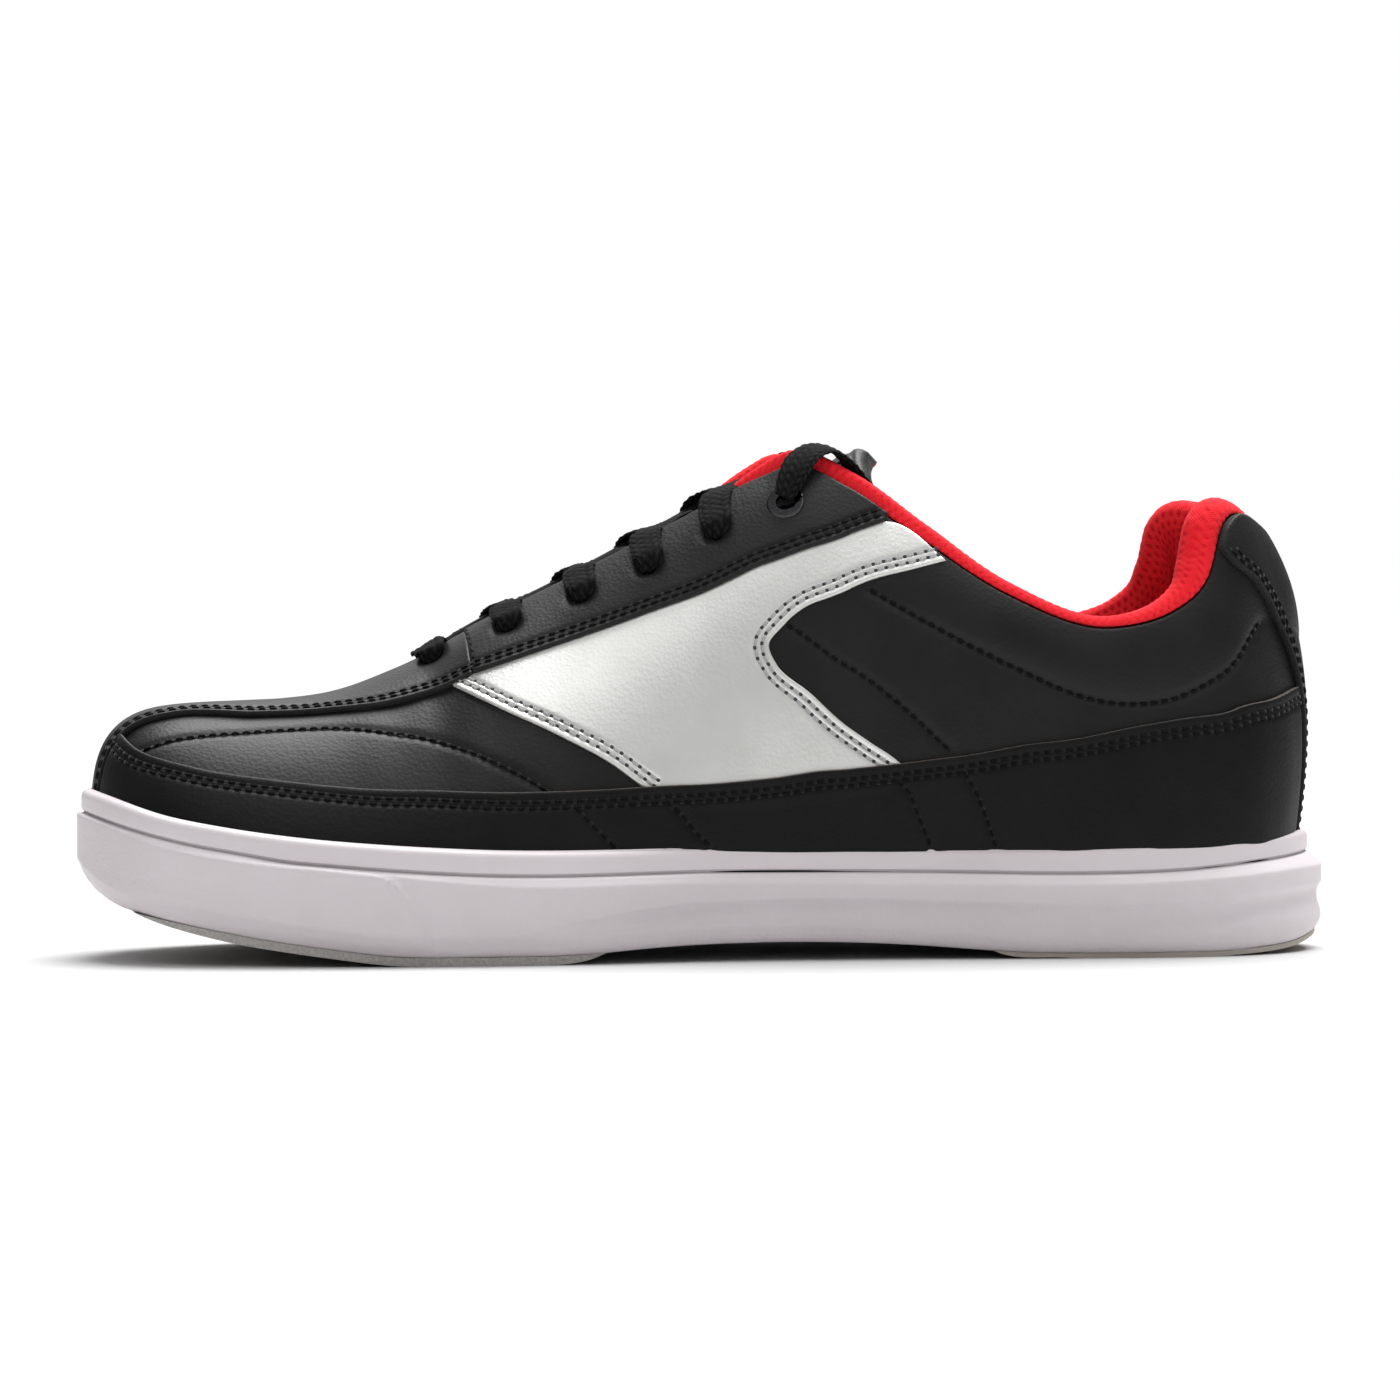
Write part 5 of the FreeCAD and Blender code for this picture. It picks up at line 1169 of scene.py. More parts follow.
def tongue():
    rows = tongue_rows(np.linspace(-1, 1, 9))
    rows = resample(rows, 150, 90)
    up = unit(np.cross(np.gradient(rows, axis=0), np.gradient(rows, axis=1)))
    up = np.where(up[..., 2:] < 0, -up, up)
    depth = track(TONGUE_DEPTH, rows[..., 0])
    top = rows - up * depth[..., None]
    spans_u = np.linalg.norm(np.diff(top, axis=0), axis=-1).mean(1)
    u = np.concatenate([[0], np.cumsum(spans_u)])
    v = np.linspace(-1, 1, 90)
    width = np.linalg.norm(np.diff(top, axis=1), axis=-1).sum(1)
    edge = np.minimum((1 - np.abs(v))[None] * width[:, None] / 2, (u[-1] - u)[:, None])
    edge = np.maximum(edge, 0)
    # rounded, padded edge: both faces meet half way down
    roll = 1 - np.sqrt(np.clip(1 - (1 - np.clip(edge / 4.2, 0, 1)) ** 2, 0, 1))
    pillow = 0.35 * np.sin(np.clip(edge / 12.0, 0, 1) * math.pi / 2)
    seam_line = 0.5 * np.exp(-((edge - 4.6) / 0.7) ** 2)
    face = top - up * (roll * TONGUE_THICK * WRAP - pillow + seam_line * 0.6)[..., None]
    back = top - up * (TONGUE_THICK * (1 - roll * (1 - WRAP)))[..., None]
    middle = (face + back) * 0.5
    shape = edge.shape
    quads = grid_quads(*shape)
    flat_up = up.reshape(-1, 3)
    for name, outer, inner, way, material, parts in (
            ("tongue_face", face, middle, flat_up, "black", ("tongue_face", "tongue_foam")),
            ("tongue_lining", back, middle, -flat_up, "red", ("tongue_lining",))):
        inner = mix(outer, inner, 0.35)
        points, faces, tags, used, _ = closed_skin(outer.reshape(-1, 3), inner.reshape(-1, 3), quads, way)
        uu, vv = np.meshgrid(u, v * 22, indexing="ij")
        # hollow drives the red knit's painted shade in its holes; the face leather ignores it
        hollow = np.concatenate([mesh_holes(uu, vv).ravel()[used]] * 2)
        uv = np.concatenate([np.stack([uu.ravel(), vv.ravel()], 1)[used]] * 2)
        obj = make(name, points, faces, (material,), body=TONGUE, replaces=parts, attributes={"hollow": hollow},
                   uv=uv, slot="black_leather" if name == "tongue_face" else "red_knit")
    # blank woven patch
    i0, j0 = 112, 30
    cut = (slice(i0, i0 + 26), slice(j0, 90 - j0))
    label, way = face[cut] + up[cut] * 0.55, up[cut]
    under = face[cut] + up[cut] * 0.05
    points, faces, tags, _, _ = closed_skin(label.reshape(-1, 3), under.reshape(-1, 3), grid_quads(*label.shape[:2]),
                                            way.reshape(-1, 3))
    make("tongue_label", points, faces, ("label",), body=TONGUE, slot="label_cloth", replaces=("tongue_label",))


# ---- laces ------------------------------------------------------------------------------------------
LACE_WIDTH, LACE_THICK = 7.5, 1.5
LACE_DEPTH = [4.3, 4.3, 4.3, 4.3, 4.6, 6.6]
LACE_DIP = [2.4, 2.4, 2.4, 2.4, 2.6, 5.9]


def spot(place, side, distance):
    (r, t), = mirrored([place], side)
    return layer(r, t, distance)


def eyelet_stations(index, side):
    """Lace coming up through one eyelet: under it, in it, above it."""
    s, t = EYELETS[index]
    (r, _), = mirrored([(s, t)], side)
    up = normal(r, t)
    away = unit(point(r, t - 0.02) - point(r, t))
    stations = [(spot((s, t), side, -LACE_DEPTH[index]), up - away, 4.4), (spot((s, t), side, -1.2), away, 3.9),
                (spot((s, t), side, 1.9), away, 5.0)]
    if index < len(EYELETS) - 1:
        stations.append((spot((s + 0.002, t + 0.004), side, 3.3), away + up * 0.6, 6.6))
    return stations


def crossing_stations(index, side, over):
    """Lace from above one eyelet, across the opening, to below the next eyelet of the other side."""
    s, s_next = EYELETS[index][0], EYELETS[index + 1][0]
    near_up = normal(*mirrored([(s + 0.012, 0.96)], side)[0])
    far_up = normal(*mirrored([(s_next - 0.010, 0.96)], -side)[0])
    s_middle = (s + s_next) / 2 + 0.004
    medial, lateral = point(s_middle, 1.0), point(2 - s_middle, 1.0)
    up = unit(normal(s_middle, 1.0) + normal(2 - s_middle, 1.0))
    middle = (medial + lateral) * 0.5 + up * (1.3 if over else -0.5)
    return [(spot((s + 0.002, 0.94), side, 3.3), near_up, 8.1), (spot((s + 0.004, 1.0), side, 2.7), near_up, 8.1),
            (spot((s + 0.008, 1.045), side, 1.1), near_up, 7.8),
            (middle, up, 7.5),
            (spot((s_next - 0.014, 1.04), -side, -LACE_DIP[index + 1]), far_up, 7.2),
            (spot((s_next - 0.009, 0.955), -side, -LACE_DEPTH[index + 1]), far_up, 6.0)]


def half_lace(side):
    stations = []
    last = len(EYELETS) - 1
    for index in range(last + 1):
        stations += eyelet_stations(index, side)
        if index < last:
            stations += crossing_stations(index, side, side < 0)
            side = -side
    return stations


def braid(across, along):
    """Herringbone braid on a flat lace: 0 on top of a strand, 1 between strands; millimetres."""
    lane = np.floor(across / 1.55)
    inside = across / 1.55 - lane
    slant = np.where(lane % 2 == 0, inside, 1 - inside)
    strand = np.abs(np.sin(math.pi * (along / 2.2 + 0.60 * slant + 0.5 * (lane % 2))))
    valley = np.sin(math.pi * inside) ** 0.6
    return 1 - (strand ** 0.7) * (0.25 + 0.75 * valley)


def strap_mesh(centres, faces_to, widths, thick=LACE_THICK, around=40):
    """Flat braided band along close-set centres; faces_to is the direction each flat side looks."""
    along = unit(np.gradient(centres, axis=0))
    wide = unit(np.cross(faces_to, along))
    for i in range(1, len(wide)):
        if wide[i] @ wide[i - 1] < 0:
            wide[i] = -wide[i]
    for _ in range(6):
        wide[1:-1] = unit(wide[:-2] + 2 * wide[1:-1] + wide[2:])
    wide = unit(wide - (wide * along).sum(-1, keepdims=True) * along)
    flat = np.cross(wide, along)
    turn = np.linspace(0, 2 * math.pi, around, endpoint=False)
    c, s = np.cos(turn), np.sin(turn)
    x = np.sign(c) * np.abs(c) ** 0.75
    y = np.sign(s) * np.abs(s) ** 0.55
    half_w = np.asarray(widths) / 2
    half_t = thick / 2 * (LACE_WIDTH / np.asarray(widths)) ** 0.8
    px, py = half_w[:, None] * x[None], half_t[:, None] * y[None]
    length = np.concatenate([[0.0], np.cumsum(np.linalg.norm(np.diff(centres, axis=0), axis=-1))])
    # place across the flat lace before it is bunched
    girth = np.cumsum(np.hypot(np.diff(np.append(x, x[0])) * LACE_WIDTH / 2, np.diff(np.append(y, y[0])) * thick / 2))
    girth = np.concatenate([[0.0], girth[:-1]])
    gap = braid(girth[None] + 0 * px, length[:, None] + 0 * px)
    out = unit(wide[:, None] * (px / half_w[:, None] ** 2)[..., None] + flat[:, None] * (py / half_t[:, None] ** 2)[..., None])
    points = centres[:, None] + wide[:, None] * px[..., None] + flat[:, None] * py[..., None] - out * (gap * 0.38)[..., None]
    return points, gap


def strap_faces(points):
    rows, around = points.shape[:2]
    quads = grid_quads(rows, around, closed_columns=True)
    caps = []
    for start in (0, (rows - 1) * around):
        ring_ids = [start + k for k in range(around)]
        caps += [[ring_ids[k], ring_ids[k + 1], ring_ids[around - 2 - k], ring_ids[around - 1 - k]]
                 for k in range(around // 2 - 1)]
    centre = points.mean(1, keepdims=True)
    if not facing(points.reshape(-1, 3), quads, (points - centre).reshape(-1, 3)):
        quads = quads[:, ::-1]
    return np.concatenate([quads, np.array(caps)])


def lace():
    s, t = EYELETS[0]
    bar = [(spot((s + 0.004, 0.97), -1, -4.3), UP, 6.0), (spot((s + 0.004, 0.97), 1, -4.3), UP, 6.0)]
    stations = list(reversed(half_lace(-1))) + bar + half_lace(1)
    centres = np.stack([station[0] for station in stations])
    looks = unit(np.stack([station[1] for station in stations]))
    widths = np.array([station[2] for station in stations])
    # the flat side's direction keeps its sign from one station to the next
    spans = np.concatenate([[0.0], np.cumsum(np.linalg.norm(np.diff(centres, axis=0), axis=-1))])
    fine = np.linspace(0, spans[-1], int(spans[-1] / 0.36))
    path = np.stack([track(list(zip(spans, centres[:, k])), fine) for k in range(3)], 1)
    along = unit(np.gradient(centres, axis=0))
    wide = unit(np.cross(looks, along))
    for i in range(1, len(wide)):
        if wide[i] @ wide[i - 1] < 0:
            wide[i] = -wide[i]
    wides = np.stack([np.interp(fine, spans, wide[:, k]) for k in range(3)], 1)
    along_fine = unit(np.gradient(path, axis=0))
    looks_fine = unit(np.cross(along_fine, wides))
    width_fine = np.clip(track(list(zip(spans, widths)), fine), 3.6, 8.1)
    points, gap = strap_mesh(path, looks_fine, width_fine)
    # the hollow attribute gives the cord its painted shade between the strands
    make("lace", points.reshape(-1, 3), strap_faces(points), ("lace",), slot="lace_cord", replaces=("lace",),
         attributes={"hollow": gap.ravel()})


# free ends: from above the top eyelet, over the collar, down inside the shoe and along the sockliner.
# Each point: (x, y, z) in metres, then the direction the flat side looks.
LACE_ROUTE = {
    "medial": [
        ((0.0149, -0.0287, 0.1082), (0.2, -1.0, 0.3)), ((0.0168, -0.0276, 0.1134), (-0.1, -1.0, 0.3)),
        ((0.0208, -0.0234, 0.1186), (-0.3, -0.7, 0.7)), ((0.0260, -0.0194, 0.1204), (0.0, -0.3, 1.0)),
        ((0.0311, -0.01765, 0.11775), (0.7, 0.1, 0.8)), ((0.0352, -0.01735, 0.1104), (0.8, 0.6, 0.4)),
        ((0.0385, -0.0186, 0.1005), (0.5, 1.0, 0.2)), ((0.0425, -0.0206, 0.0895), (0.2, 1.0, 0.1)),
        ((0.0470, -0.0234, 0.0780), (0.1, 1.0, 0.0)), ((0.0515, -0.0268, 0.0665), (0.1, 1.0, 0.0)),
        ((0.0560, -0.0296, 0.0560), (0.1, 1.0, 0.0)), ((0.0605, -0.0310, 0.0455), (0.2, 1.0, 0.1)),
        ((0.0665, -0.0308, 0.0355), (0.3, 1.0, 0.3)), ((0.0750, -0.0290, 0.0284), (0.2, 0.5, 1.0)),
        ((0.0855, -0.0276, 0.0269), (0.0, 0.0, 1.0)), ((0.0970, -0.0256, 0.0269), (0.0, 0.0, 1.0))],
    "lateral": [
        ((0.0148, 0.0287, 0.1082), (0.2, 1.0, 0.3)), ((0.0172, 0.0278, 0.1136), (-0.1, 1.0, 0.3)),
        ((0.0218, 0.0240, 0.1182), (-0.3, 0.7, 0.7)), ((0.0274, 0.0200, 0.1196), (0.0, 0.3, 1.0)),
        ((0.0322, 0.0178, 0.1164), (0.7, -0.1, 0.8)), ((0.0356, 0.0172, 0.1088), (0.8, -0.6, 0.4)),
        ((0.0394, 0.0188, 0.0990), (0.5, -1.0, 0.2)), ((0.0436, 0.0210, 0.0878), (0.2, -1.0, 0.1)),
        ((0.0484, 0.0244, 0.0755), (0.1, -1.0, 0.0)), ((0.0530, 0.0276, 0.0635), (0.1, -1.0, 0.0)),
        ((0.0575, 0.0302, 0.0525), (0.1, -1.0, 0.0)), ((0.0620, 0.0312, 0.0420), (0.2, -1.0, 0.1)),
        ((0.0680, 0.0304, 0.0330), (0.3, -1.0, 0.3)), ((0.0760, 0.0288, 0.0276), (0.2, -0.5, 1.0)),
        ((0.0860, 0.0278, 0.0269), (0.0, 0.0, 1.0)), ((0.0975, 0.0268, 0.0269), (0.0, 0.0, 1.0))],
}
AGLET_LENGTH, AGLET_RADIUS = 18.0, 1.7


def spline_points(places):
    """Points along a smooth NURBS spline with the given control points, in millimetres."""
    curve = bpy.data.curves.new("route", "CURVE")
    curve.dimensions, curve.resolution_u = "3D", 24
    spline = curve.splines.new("NURBS")
    spline.points.add(len(places) - 1)
    for target, place in zip(spline.points, places):
        target.co = (*place, 1.0)
    spline.order_u, spline.use_endpoint_u = 3, True
    holder = bpy.data.objects.new("route", curve)
    bpy.context.scene.collection.objects.link(holder)
    mesh = bpy.data.meshes.new_from_object(holder)
    points = np.empty(len(mesh.vertices) * 3)
    mesh.vertices.foreach_get("co", points)
    bpy.data.meshes.remove(mesh)
    bpy.data.objects.remove(holder)
    bpy.data.curves.remove(curve)
    return points.reshape(-1, 3) / MM


def lace_end(name):
    places, looks = zip(*LACE_ROUTE[name])
    path = spline_points(places)
    spans = np.concatenate([[0.0], np.cumsum(np.linalg.norm(np.diff(path, axis=0), axis=-1))])
    fine = np.linspace(0, spans[-1], int(spans[-1] / 0.36))
    centres = np.stack([np.interp(fine, spans, path[:, k]) for k in range(3)], 1)
    for _ in range(3):
        centres[1:-1] = (centres[:-2] + 2 * centres[1:-1] + centres[2:]) / 4
    control = np.array(places) / MM
    marks = np.array([fine[np.argmin(np.linalg.norm(centres - place, axis=1))] for place in control])
    marks = np.maximum.accumulate(marks + np.arange(len(marks)) * 1e-6)
    look = unit(np.stack([np.interp(fine, marks, np.array(looks)[:, k]) for k in range(3)], 1))
    widths = np.interp(fine, [0, 3, 9, fine[-1] - 6, fine[-1]], [4.6, 6.2, 7.4, 7.4, 3.6])
    points, gap = strap_mesh(centres, look, widths)
    tip, ahead = centres[-1], unit(centres[-1] - centres[-6])
    tag = aglet(name, tip, ahead)
    # the hollow attribute gives the cord its painted shade between the strands
    obj = make("lace_end_" + name, points.reshape(-1, 3), strap_faces(points), ("lace",), slot="lace_cord",
               replaces=("lace_end_" + name,), attributes={"hollow": gap.ravel()})
    return obj


def aglet(name, tip, ahead):
    """Crimped plastic tip."""
    side = unit(np.cross(ahead, UP))
    over = np.cross(side, ahead)
    profile = [(0.0, 0.2), (0.0, 1.62), (0.25, 1.7), (5.6, 1.7), (5.9, 1.5), (6.5, 1.5), (6.8, 1.68), (12.0, 1.62),
               (16.6, 1.5), (17.5, 1.25), (AGLET_LENGTH, 0.8), (AGLET_LENGTH, 0.1)]
    turn = np.linspace(0, 2 * math.pi, 32, endpoint=False)
    rings = [tip + ahead * x + radius * (np.cos(turn)[:, None] * side * 1.0 + np.sin(turn)[:, None] * over)
             for x, radius in profile]
    points = np.stack(rings)
    return make("aglet_" + name, points.reshape(-1, 3), strap_faces(points), ("aglet",), slot="aglet_plastic",
                replaces=("aglet_" + name,))


# ---- sole -------------------------------------------------------------------------------------------
SOLE_MEDIAL = [(-150.0, -11.0), (-145.5, -28.5), (-135.0, -41.5), (-118.0, -49.0), (-95.0, -54.0), (-65.0, -55.1),
               (-35.0, -52.0), (0.0, -44.5), (35.0, -42.0), (75.0, -42.5), (105.0, -42.0), (125.0, -37.0),
               (140.0, -25.5), (147.5, -12.5)]
SOLE_LATERAL = [(150.0, 0.0), (147.5, 12.5), (140.0, 25.5), (125.0, 37.5), (105.0, 42.5), (75.0, 43.5), (35.0, 46.5),
                (0.0, 51.3), (-35.0, 54.6), (-65.0, 54.5), (-95.0, 48.6), (-118.0, 38.5), (-135.0, 24.5),
                (-145.5, 8.0)]
RIM_TOP = [(-155.0, 41.0), (-146.0, 38.6), (-134.7, 35.0), (-119.8, 32.0), (-102.8, 29.6), (-80.0, 27.6),
           (-58.0, 26.4), (0.0, 26.2), (74.0, 25.3), (107.0, 25.9), (128.0, 27.2), (155.0, 29.0)]
RIM_GROOVE = [(-155.0, 36.0), (-149.3, 34.3), (-140.5, 31.6), (-125.4, 27.9), (-114.0, 25.9), (-102.7, 24.0),
              (-92.8, 23.1), (-58.0, 20.8), (1.3, 20.9), (45.5, 20.5), (87.3, 19.9), (107.4, 20.4), (127.6, 22.0),
              (146.0, 23.5), (155.0, 24.2)]
BEVEL_LOW = [(-155.0, 35.4), (-147.3, 33.0), (-133.7, 28.2), (-111.1, 24.0), (-92.9, 22.2), (-83.7, 21.2),
             (-53.9, 18.4), (-7.8, 18.4), (40.7, 17.7), (100.1, 17.5), (124.1, 18.8), (138.5, 20.0), (155.0, 20.6)]
LEDGE = [(-155.0, 12.5), (-60.0, 12.5), (-20.3, 12.9), (16.0, 14.1), (40.7, 13.7), (64.4, 12.8), (88.2, 12.4),
         (112.1, 13.0), (136.1, 15.4), (155.0, 16.2)]
LIP = [(-155.0, 5.0), (64.4, 5.4), (88.2, 5.2), (112.1, 5.9), (136.1, 8.4), (155.0, 9.0)]
RIM_INSET = [(-155.0, 1.0), (-60.0, 1.5), (60.0, 2.1), (120.0, 2.6), (150.0, 3.4)]
SOLE_BOTTOM = [(-155.0, 25.0), (-150.0, 19.9), (-147.0, 16.9), (-144.0, 14.8), (-140.9, 13.2), (-135.0, 11.5),
               (-128.0, 10.0), (-120.0, 8.35), (-115.9, 7.6), (-103.0, 5.4),
               (-90.0, 3.6), (-80.0, 2.4), (-72.0, 2.0), (-57.0, 2.0), (-42.0, 2.0), (-30.0, 2.6), (-16.0, 3.6),
               (5.0, 4.3), (25.0, 4.2), (45.0, 3.3), (62.0, 2.0), (72.0, 1.4), (82.0, 1.2), (100.0, 1.2),
               (118.0, 1.2), (128.0, 1.8), (138.0, 2.8), (146.0, 4.8), (155.0, 8.7)]
TOE_ARC_RIDGE = [(21.5, -83.7), (19.9, -79.6), (17.6, -76.9), (14.6, -74.1), (10.7, -71.8), (6.8, -70.0)]
CUP_FLOOR = [(-155.0, 28.6), (-140.0, 25.4), (-128.0, 21.7), (-115.0, 18.7), (-98.0, 16.4), (-80.0, 15.2),
             (-65.0, 15.0), (0.0, 15.0), (155.0, 15.0)]
SOCK_TOP, SOCK_FOAM_LOW, SOCK_INSET = 9.8, 4.8, 3.6


def plan_ring(step):
    """Even stations once round the sole's outline, anticlockwise: points and outward directions."""
    plan = np.array(SOLE_MEDIAL + SOLE_LATERAL)
    lap = np.concatenate([plan[-3:], plan, plan[:4]])
    spans = np.concatenate([[0.0], np.cumsum(np.linalg.norm(np.diff(lap, axis=0), axis=-1))])
    start, end = spans[3], spans[3 + len(plan)]
    fine = np.linspace(start, end, 4000)
    xy = np.stack([track(list(zip(spans, lap[:, k])), fine) for k in (0, 1)], 1)
    run = np.concatenate([[0.0], np.cumsum(np.linalg.norm(np.diff(xy, axis=0), axis=-1))])
    count = int(run[-1] / step)
    marks = np.linspace(0, run[-1], count, endpoint=False)
    xy = np.stack([np.interp(marks, run, xy[:, k]) for k in (0, 1)], 1)
    for _ in range(4):
        xy = (np.roll(xy, 1, 0) + 2 * xy + np.roll(xy, -1, 0)) / 4
    along = unit(np.roll(xy, -1, 0) - np.roll(xy, 1, 0))
    return xy, np.stack([along[:, 1], -along[:, 0]], 1), marks


def upper_ring(distance, heights):
    """Plan curve of the upper's outside where it reaches each height (a function of x)."""
    r = np.linspace(0, 2, 500, endpoint=False)
    low, high = np.zeros_like(r), np.full_like(r, 0.6)
    for _ in range(24):
        t = (low + high) / 2
        p = layer(r, t, np.full_like(r, distance))
        under = p[:, 2] < heights(p[:, 0])
        low, high = np.where(under, t, low), np.where(under, high, t)
    return layer(r, low, np.full_like(r, distance))[:, :2]


def reach_inward(xy, out, ring_xy):
    """How far in from each outline station its inward ray meets the closed curve ring_xy."""
    a, b = ring_xy, np.roll(ring_xy, -1, 0)
    edge = b - a
    d = -out
    cross = d[:, None, 0] * edge[None, :, 1] - d[:, None, 1] * edge[None, :, 0]
    gap = a[None] - xy[:, None]
    along = (gap[..., 0] * edge[None, :, 1] - gap[..., 1] * edge[None, :, 0]) / cross
    share = (gap[..., 0] * d[:, None, 1] - gap[..., 1] * d[:, None, 0]) / cross
    hit = (share >= -1e-6) & (share <= 1 + 1e-6) & (along > -1.0) & (along < 30)
    along = np.where(hit, along, 1e3)
    return along.min(axis=1)


def cupsole():
    xy, out, run = plan_ring(0.8)
    x = xy[:, 0]
    rim, groove = track(RIM_TOP, x), track(RIM_GROOVE, x)
    bevel, ledge, lip, bottom = track(BEVEL_LOW, x), track(LEDGE, x), track(LIP, x), track(SOLE_BOTTOM, x)
    step_in = track(RIM_INSET, x)
    inner = reach_inward(xy, out, upper_ring(1.35, lambda px: track(RIM_TOP, px) - 0.4))
    inner = np.clip(inner, step_in + 1.0, 14.0)
    hollow = ease(-52, -8, x)
    heel = ease(30, 85, x)
    rows = []

    def under(inset):
        return track(SOLE_BOTTOM, x - out[:, 0] * inset)

    def row(inset, z, band):
        rows.append((inset + 0 * x, z + 0 * x, band))

    # the rim, from the upper outwards; then groove, bevel, wall, ledge, recess, lip and bottom edge
    row(inner + 1.2, rim - 3.0, 1)
    row(inner + 0.1, rim - 0.9, 1)
    row(inner - 0.25, rim - 0.25, 1)
    for share in (0.25, 0.5, 0.75):
        row(mix(inner - 0.3, step_in + 1.5, share), rim + 0.25 * math.sin(math.pi * share), 1)
    for inset, z in ((1.5, 0.0), (1.0, -0.10), (0.6, -0.35), (0.28, -0.75), (0.08, -1.3), (0.0, -1.9)):
        row(step_in + inset, rim + z, 1)
    for share in (0.35, 0.7, 1.0):
        row(step_in + 0.0, mix(rim - 1.9, groove + 0.9, share), 1)
    row(step_in + 0.12, groove + 0.55, 1)
    # band 2 takes the darker groove material: painted shade in the groove
    row(step_in + 0.45, groove + 0.25, 2)
    row(step_in + 0.75, groove - 0.05, 2)
    row(step_in + 0.35, groove - 0.30, 2)
    row(step_in - 0.15, groove - 0.42, 1)
    row(step_in - 0.45, groove - 0.60, 1)
    for share in (0.33, 0.66):
        row(mix(step_in - 0.45, 0.30, share), mix(groove - 0.60, bevel + 0.35, share), 1)
    row(0.30, bevel + 0.35, 1)
    row(0.08, bevel + 0.05, 0)
    row(0.0, bevel - 0.40, 0)
    wall_low = mix(bottom + 6.5, ledge + 0.7, hollow)
    wall_low = np.minimum(wall_low, bevel - 1.2)
    for share in np.linspace(0.08, 1, 16):
        row(0.0, mix(bevel - 0.4, wall_low, share), 0)
    # ledge and recess, which fade out towards the toe
    foot = bottom + 1.0
    toe = 1 - ease(-146, -126, x)
    deep = 1.5 * hollow * (1 - 0.25 * heel)
    lip_out = 0.25 * (1 - heel) * hollow + 0.0
    for share, push in ((0.06, 0.10), (0.12, 0.38), (0.20, 0.72), (0.30, 0.93), (0.42, 1.0), (0.54, 0.93),
                        (0.66, 0.72), (0.76, 0.45), (0.86, 0.22), (0.94, 0.12)):
        round_under = 0.9 * (1 - hollow) * share ** 2.4 * (1 - toe)
        row(deep * push + round_under, mix(wall_low, np.minimum(mix(foot + 2.5, lip - 0.6, heel), wall_low - 2.0), share), 0)
    edge_top = np.minimum(mix(foot + 2.5, lip - 0.6, heel), wall_low - 2.0)
    for share, inset, toe_inset in ((0.10, 0.10, 0.30), (0.35, 0.25, 0.70), (0.60, 0.50, 1.30), (0.80, 0.90, 2.30),
                                    (0.93, 1.40, 3.80), (1.0, 2.0, 6.0)):
        step = mix(inset + 0.9 * (1 - hollow) + lip_out, toe_inset, toe)
        row(step, mix(edge_top, under(step), share), 0)
    last_step = mix(3.6, 7.0, toe)
    row(last_step, under(last_step), 3)
    insets = np.stack([item[0] for item in rows], 1)
    levels = np.stack([item[1] for item in rows], 1)
    bands = [item[2] for item in rows]
    # raised toe panel that ends in an arc on each side
    arc_x = track(TOE_ARC_RIDGE[::-1], np.clip(levels, 6.8, 21.5))
    ahead = arc_x - x[:, None]
    wall = ease(-1.0, 0.6, bevel[:, None] - levels) * ease(0.0, 2.0, levels - bottom[:, None] - 1.0)
    raised = 0.75 * ease(-0.5, 0.5, ahead) * (1 - ease(22, 60, ahead)) + 0.55 * np.exp(-(ahead / 0.8) ** 2)
    insets = insets - wall * raised
    points = np.stack([xy[:, None, 0] - out[:, None, 0] * insets, xy[:, None, 1] - out[:, None, 1] * insets, levels], -1)
    count, profile = levels.shape
    # underside: from the last ring to the centre line
    shares = np.array([0.10, 0.25, 0.45, 0.7, 1.0])
    spine = np.stack([np.clip(x, -112, 112), 0 * x - 2.0], 1)
    underside = []
    for share in shares:
        flat = mix(points[:, -1, :2], spine, share)
        underside.append(np.concatenate([flat, track(SOLE_BOTTOM, flat[:, 0])[:, None]], 1))
    points = np.concatenate([points, np.stack(underside, 1)], 1)
    # inside: down the wall of the cup and across its floor
    first = points[:, 0]
    floor = track(CUP_FLOOR, first[:, 0])
    wall_in = first.copy()
    wall_in[:, 2] = floor + 0.2
    inside = [wall_in]
    for share in (0.15, 0.4, 0.7, 1.0):
        flat = mix(wall_in[:, :2], spine, share)
        inside.append(np.concatenate([flat, track(CUP_FLOOR, flat[:, 0])[:, None] - 0.15], 1))
    points = np.concatenate([np.stack(inside[::-1], 1), points], 1)
    quads = grid_quads(count, points.shape[1], closed_rows=True)
    bands = [1] * 5 + bands + [3] * 5
    slots = np.tile(np.array(bands[1:]), count)
    flat_points = points.reshape(-1, 3)
    # close the two seams along the spine
    outward = np.zeros_like(flat_points)
    outward.reshape(points.shape)[..., 0] = out[:, None, 0]
    outward.reshape(points.shape)[..., 1] = out[:, None, 1]
    middle = np.tile(np.arange(points.shape[1] - 1), count)
    probe = (middle > 8) & (middle < 40)
    if not facing(flat_points, quads[probe], outward):
        quads = quads[:, ::-1]
    obj = make("cupsole", flat_points, quads, ("sole", "rim", "groove", "bottom"), slots, slot="sole_rubber",
               replaces=("cupsole",))
    weld(obj)
    return obj


def weld(obj, distance=0.02):
    work = bmesh.new()
    work.from_mesh(obj.data)
    bmesh.ops.remove_doubles(work, verts=work.verts, dist=distance * MM)
    bmesh.ops.dissolve_degenerate(work, edges=work.edges, dist=1e-7)
    work.to_mesh(obj.data)
    work.free()


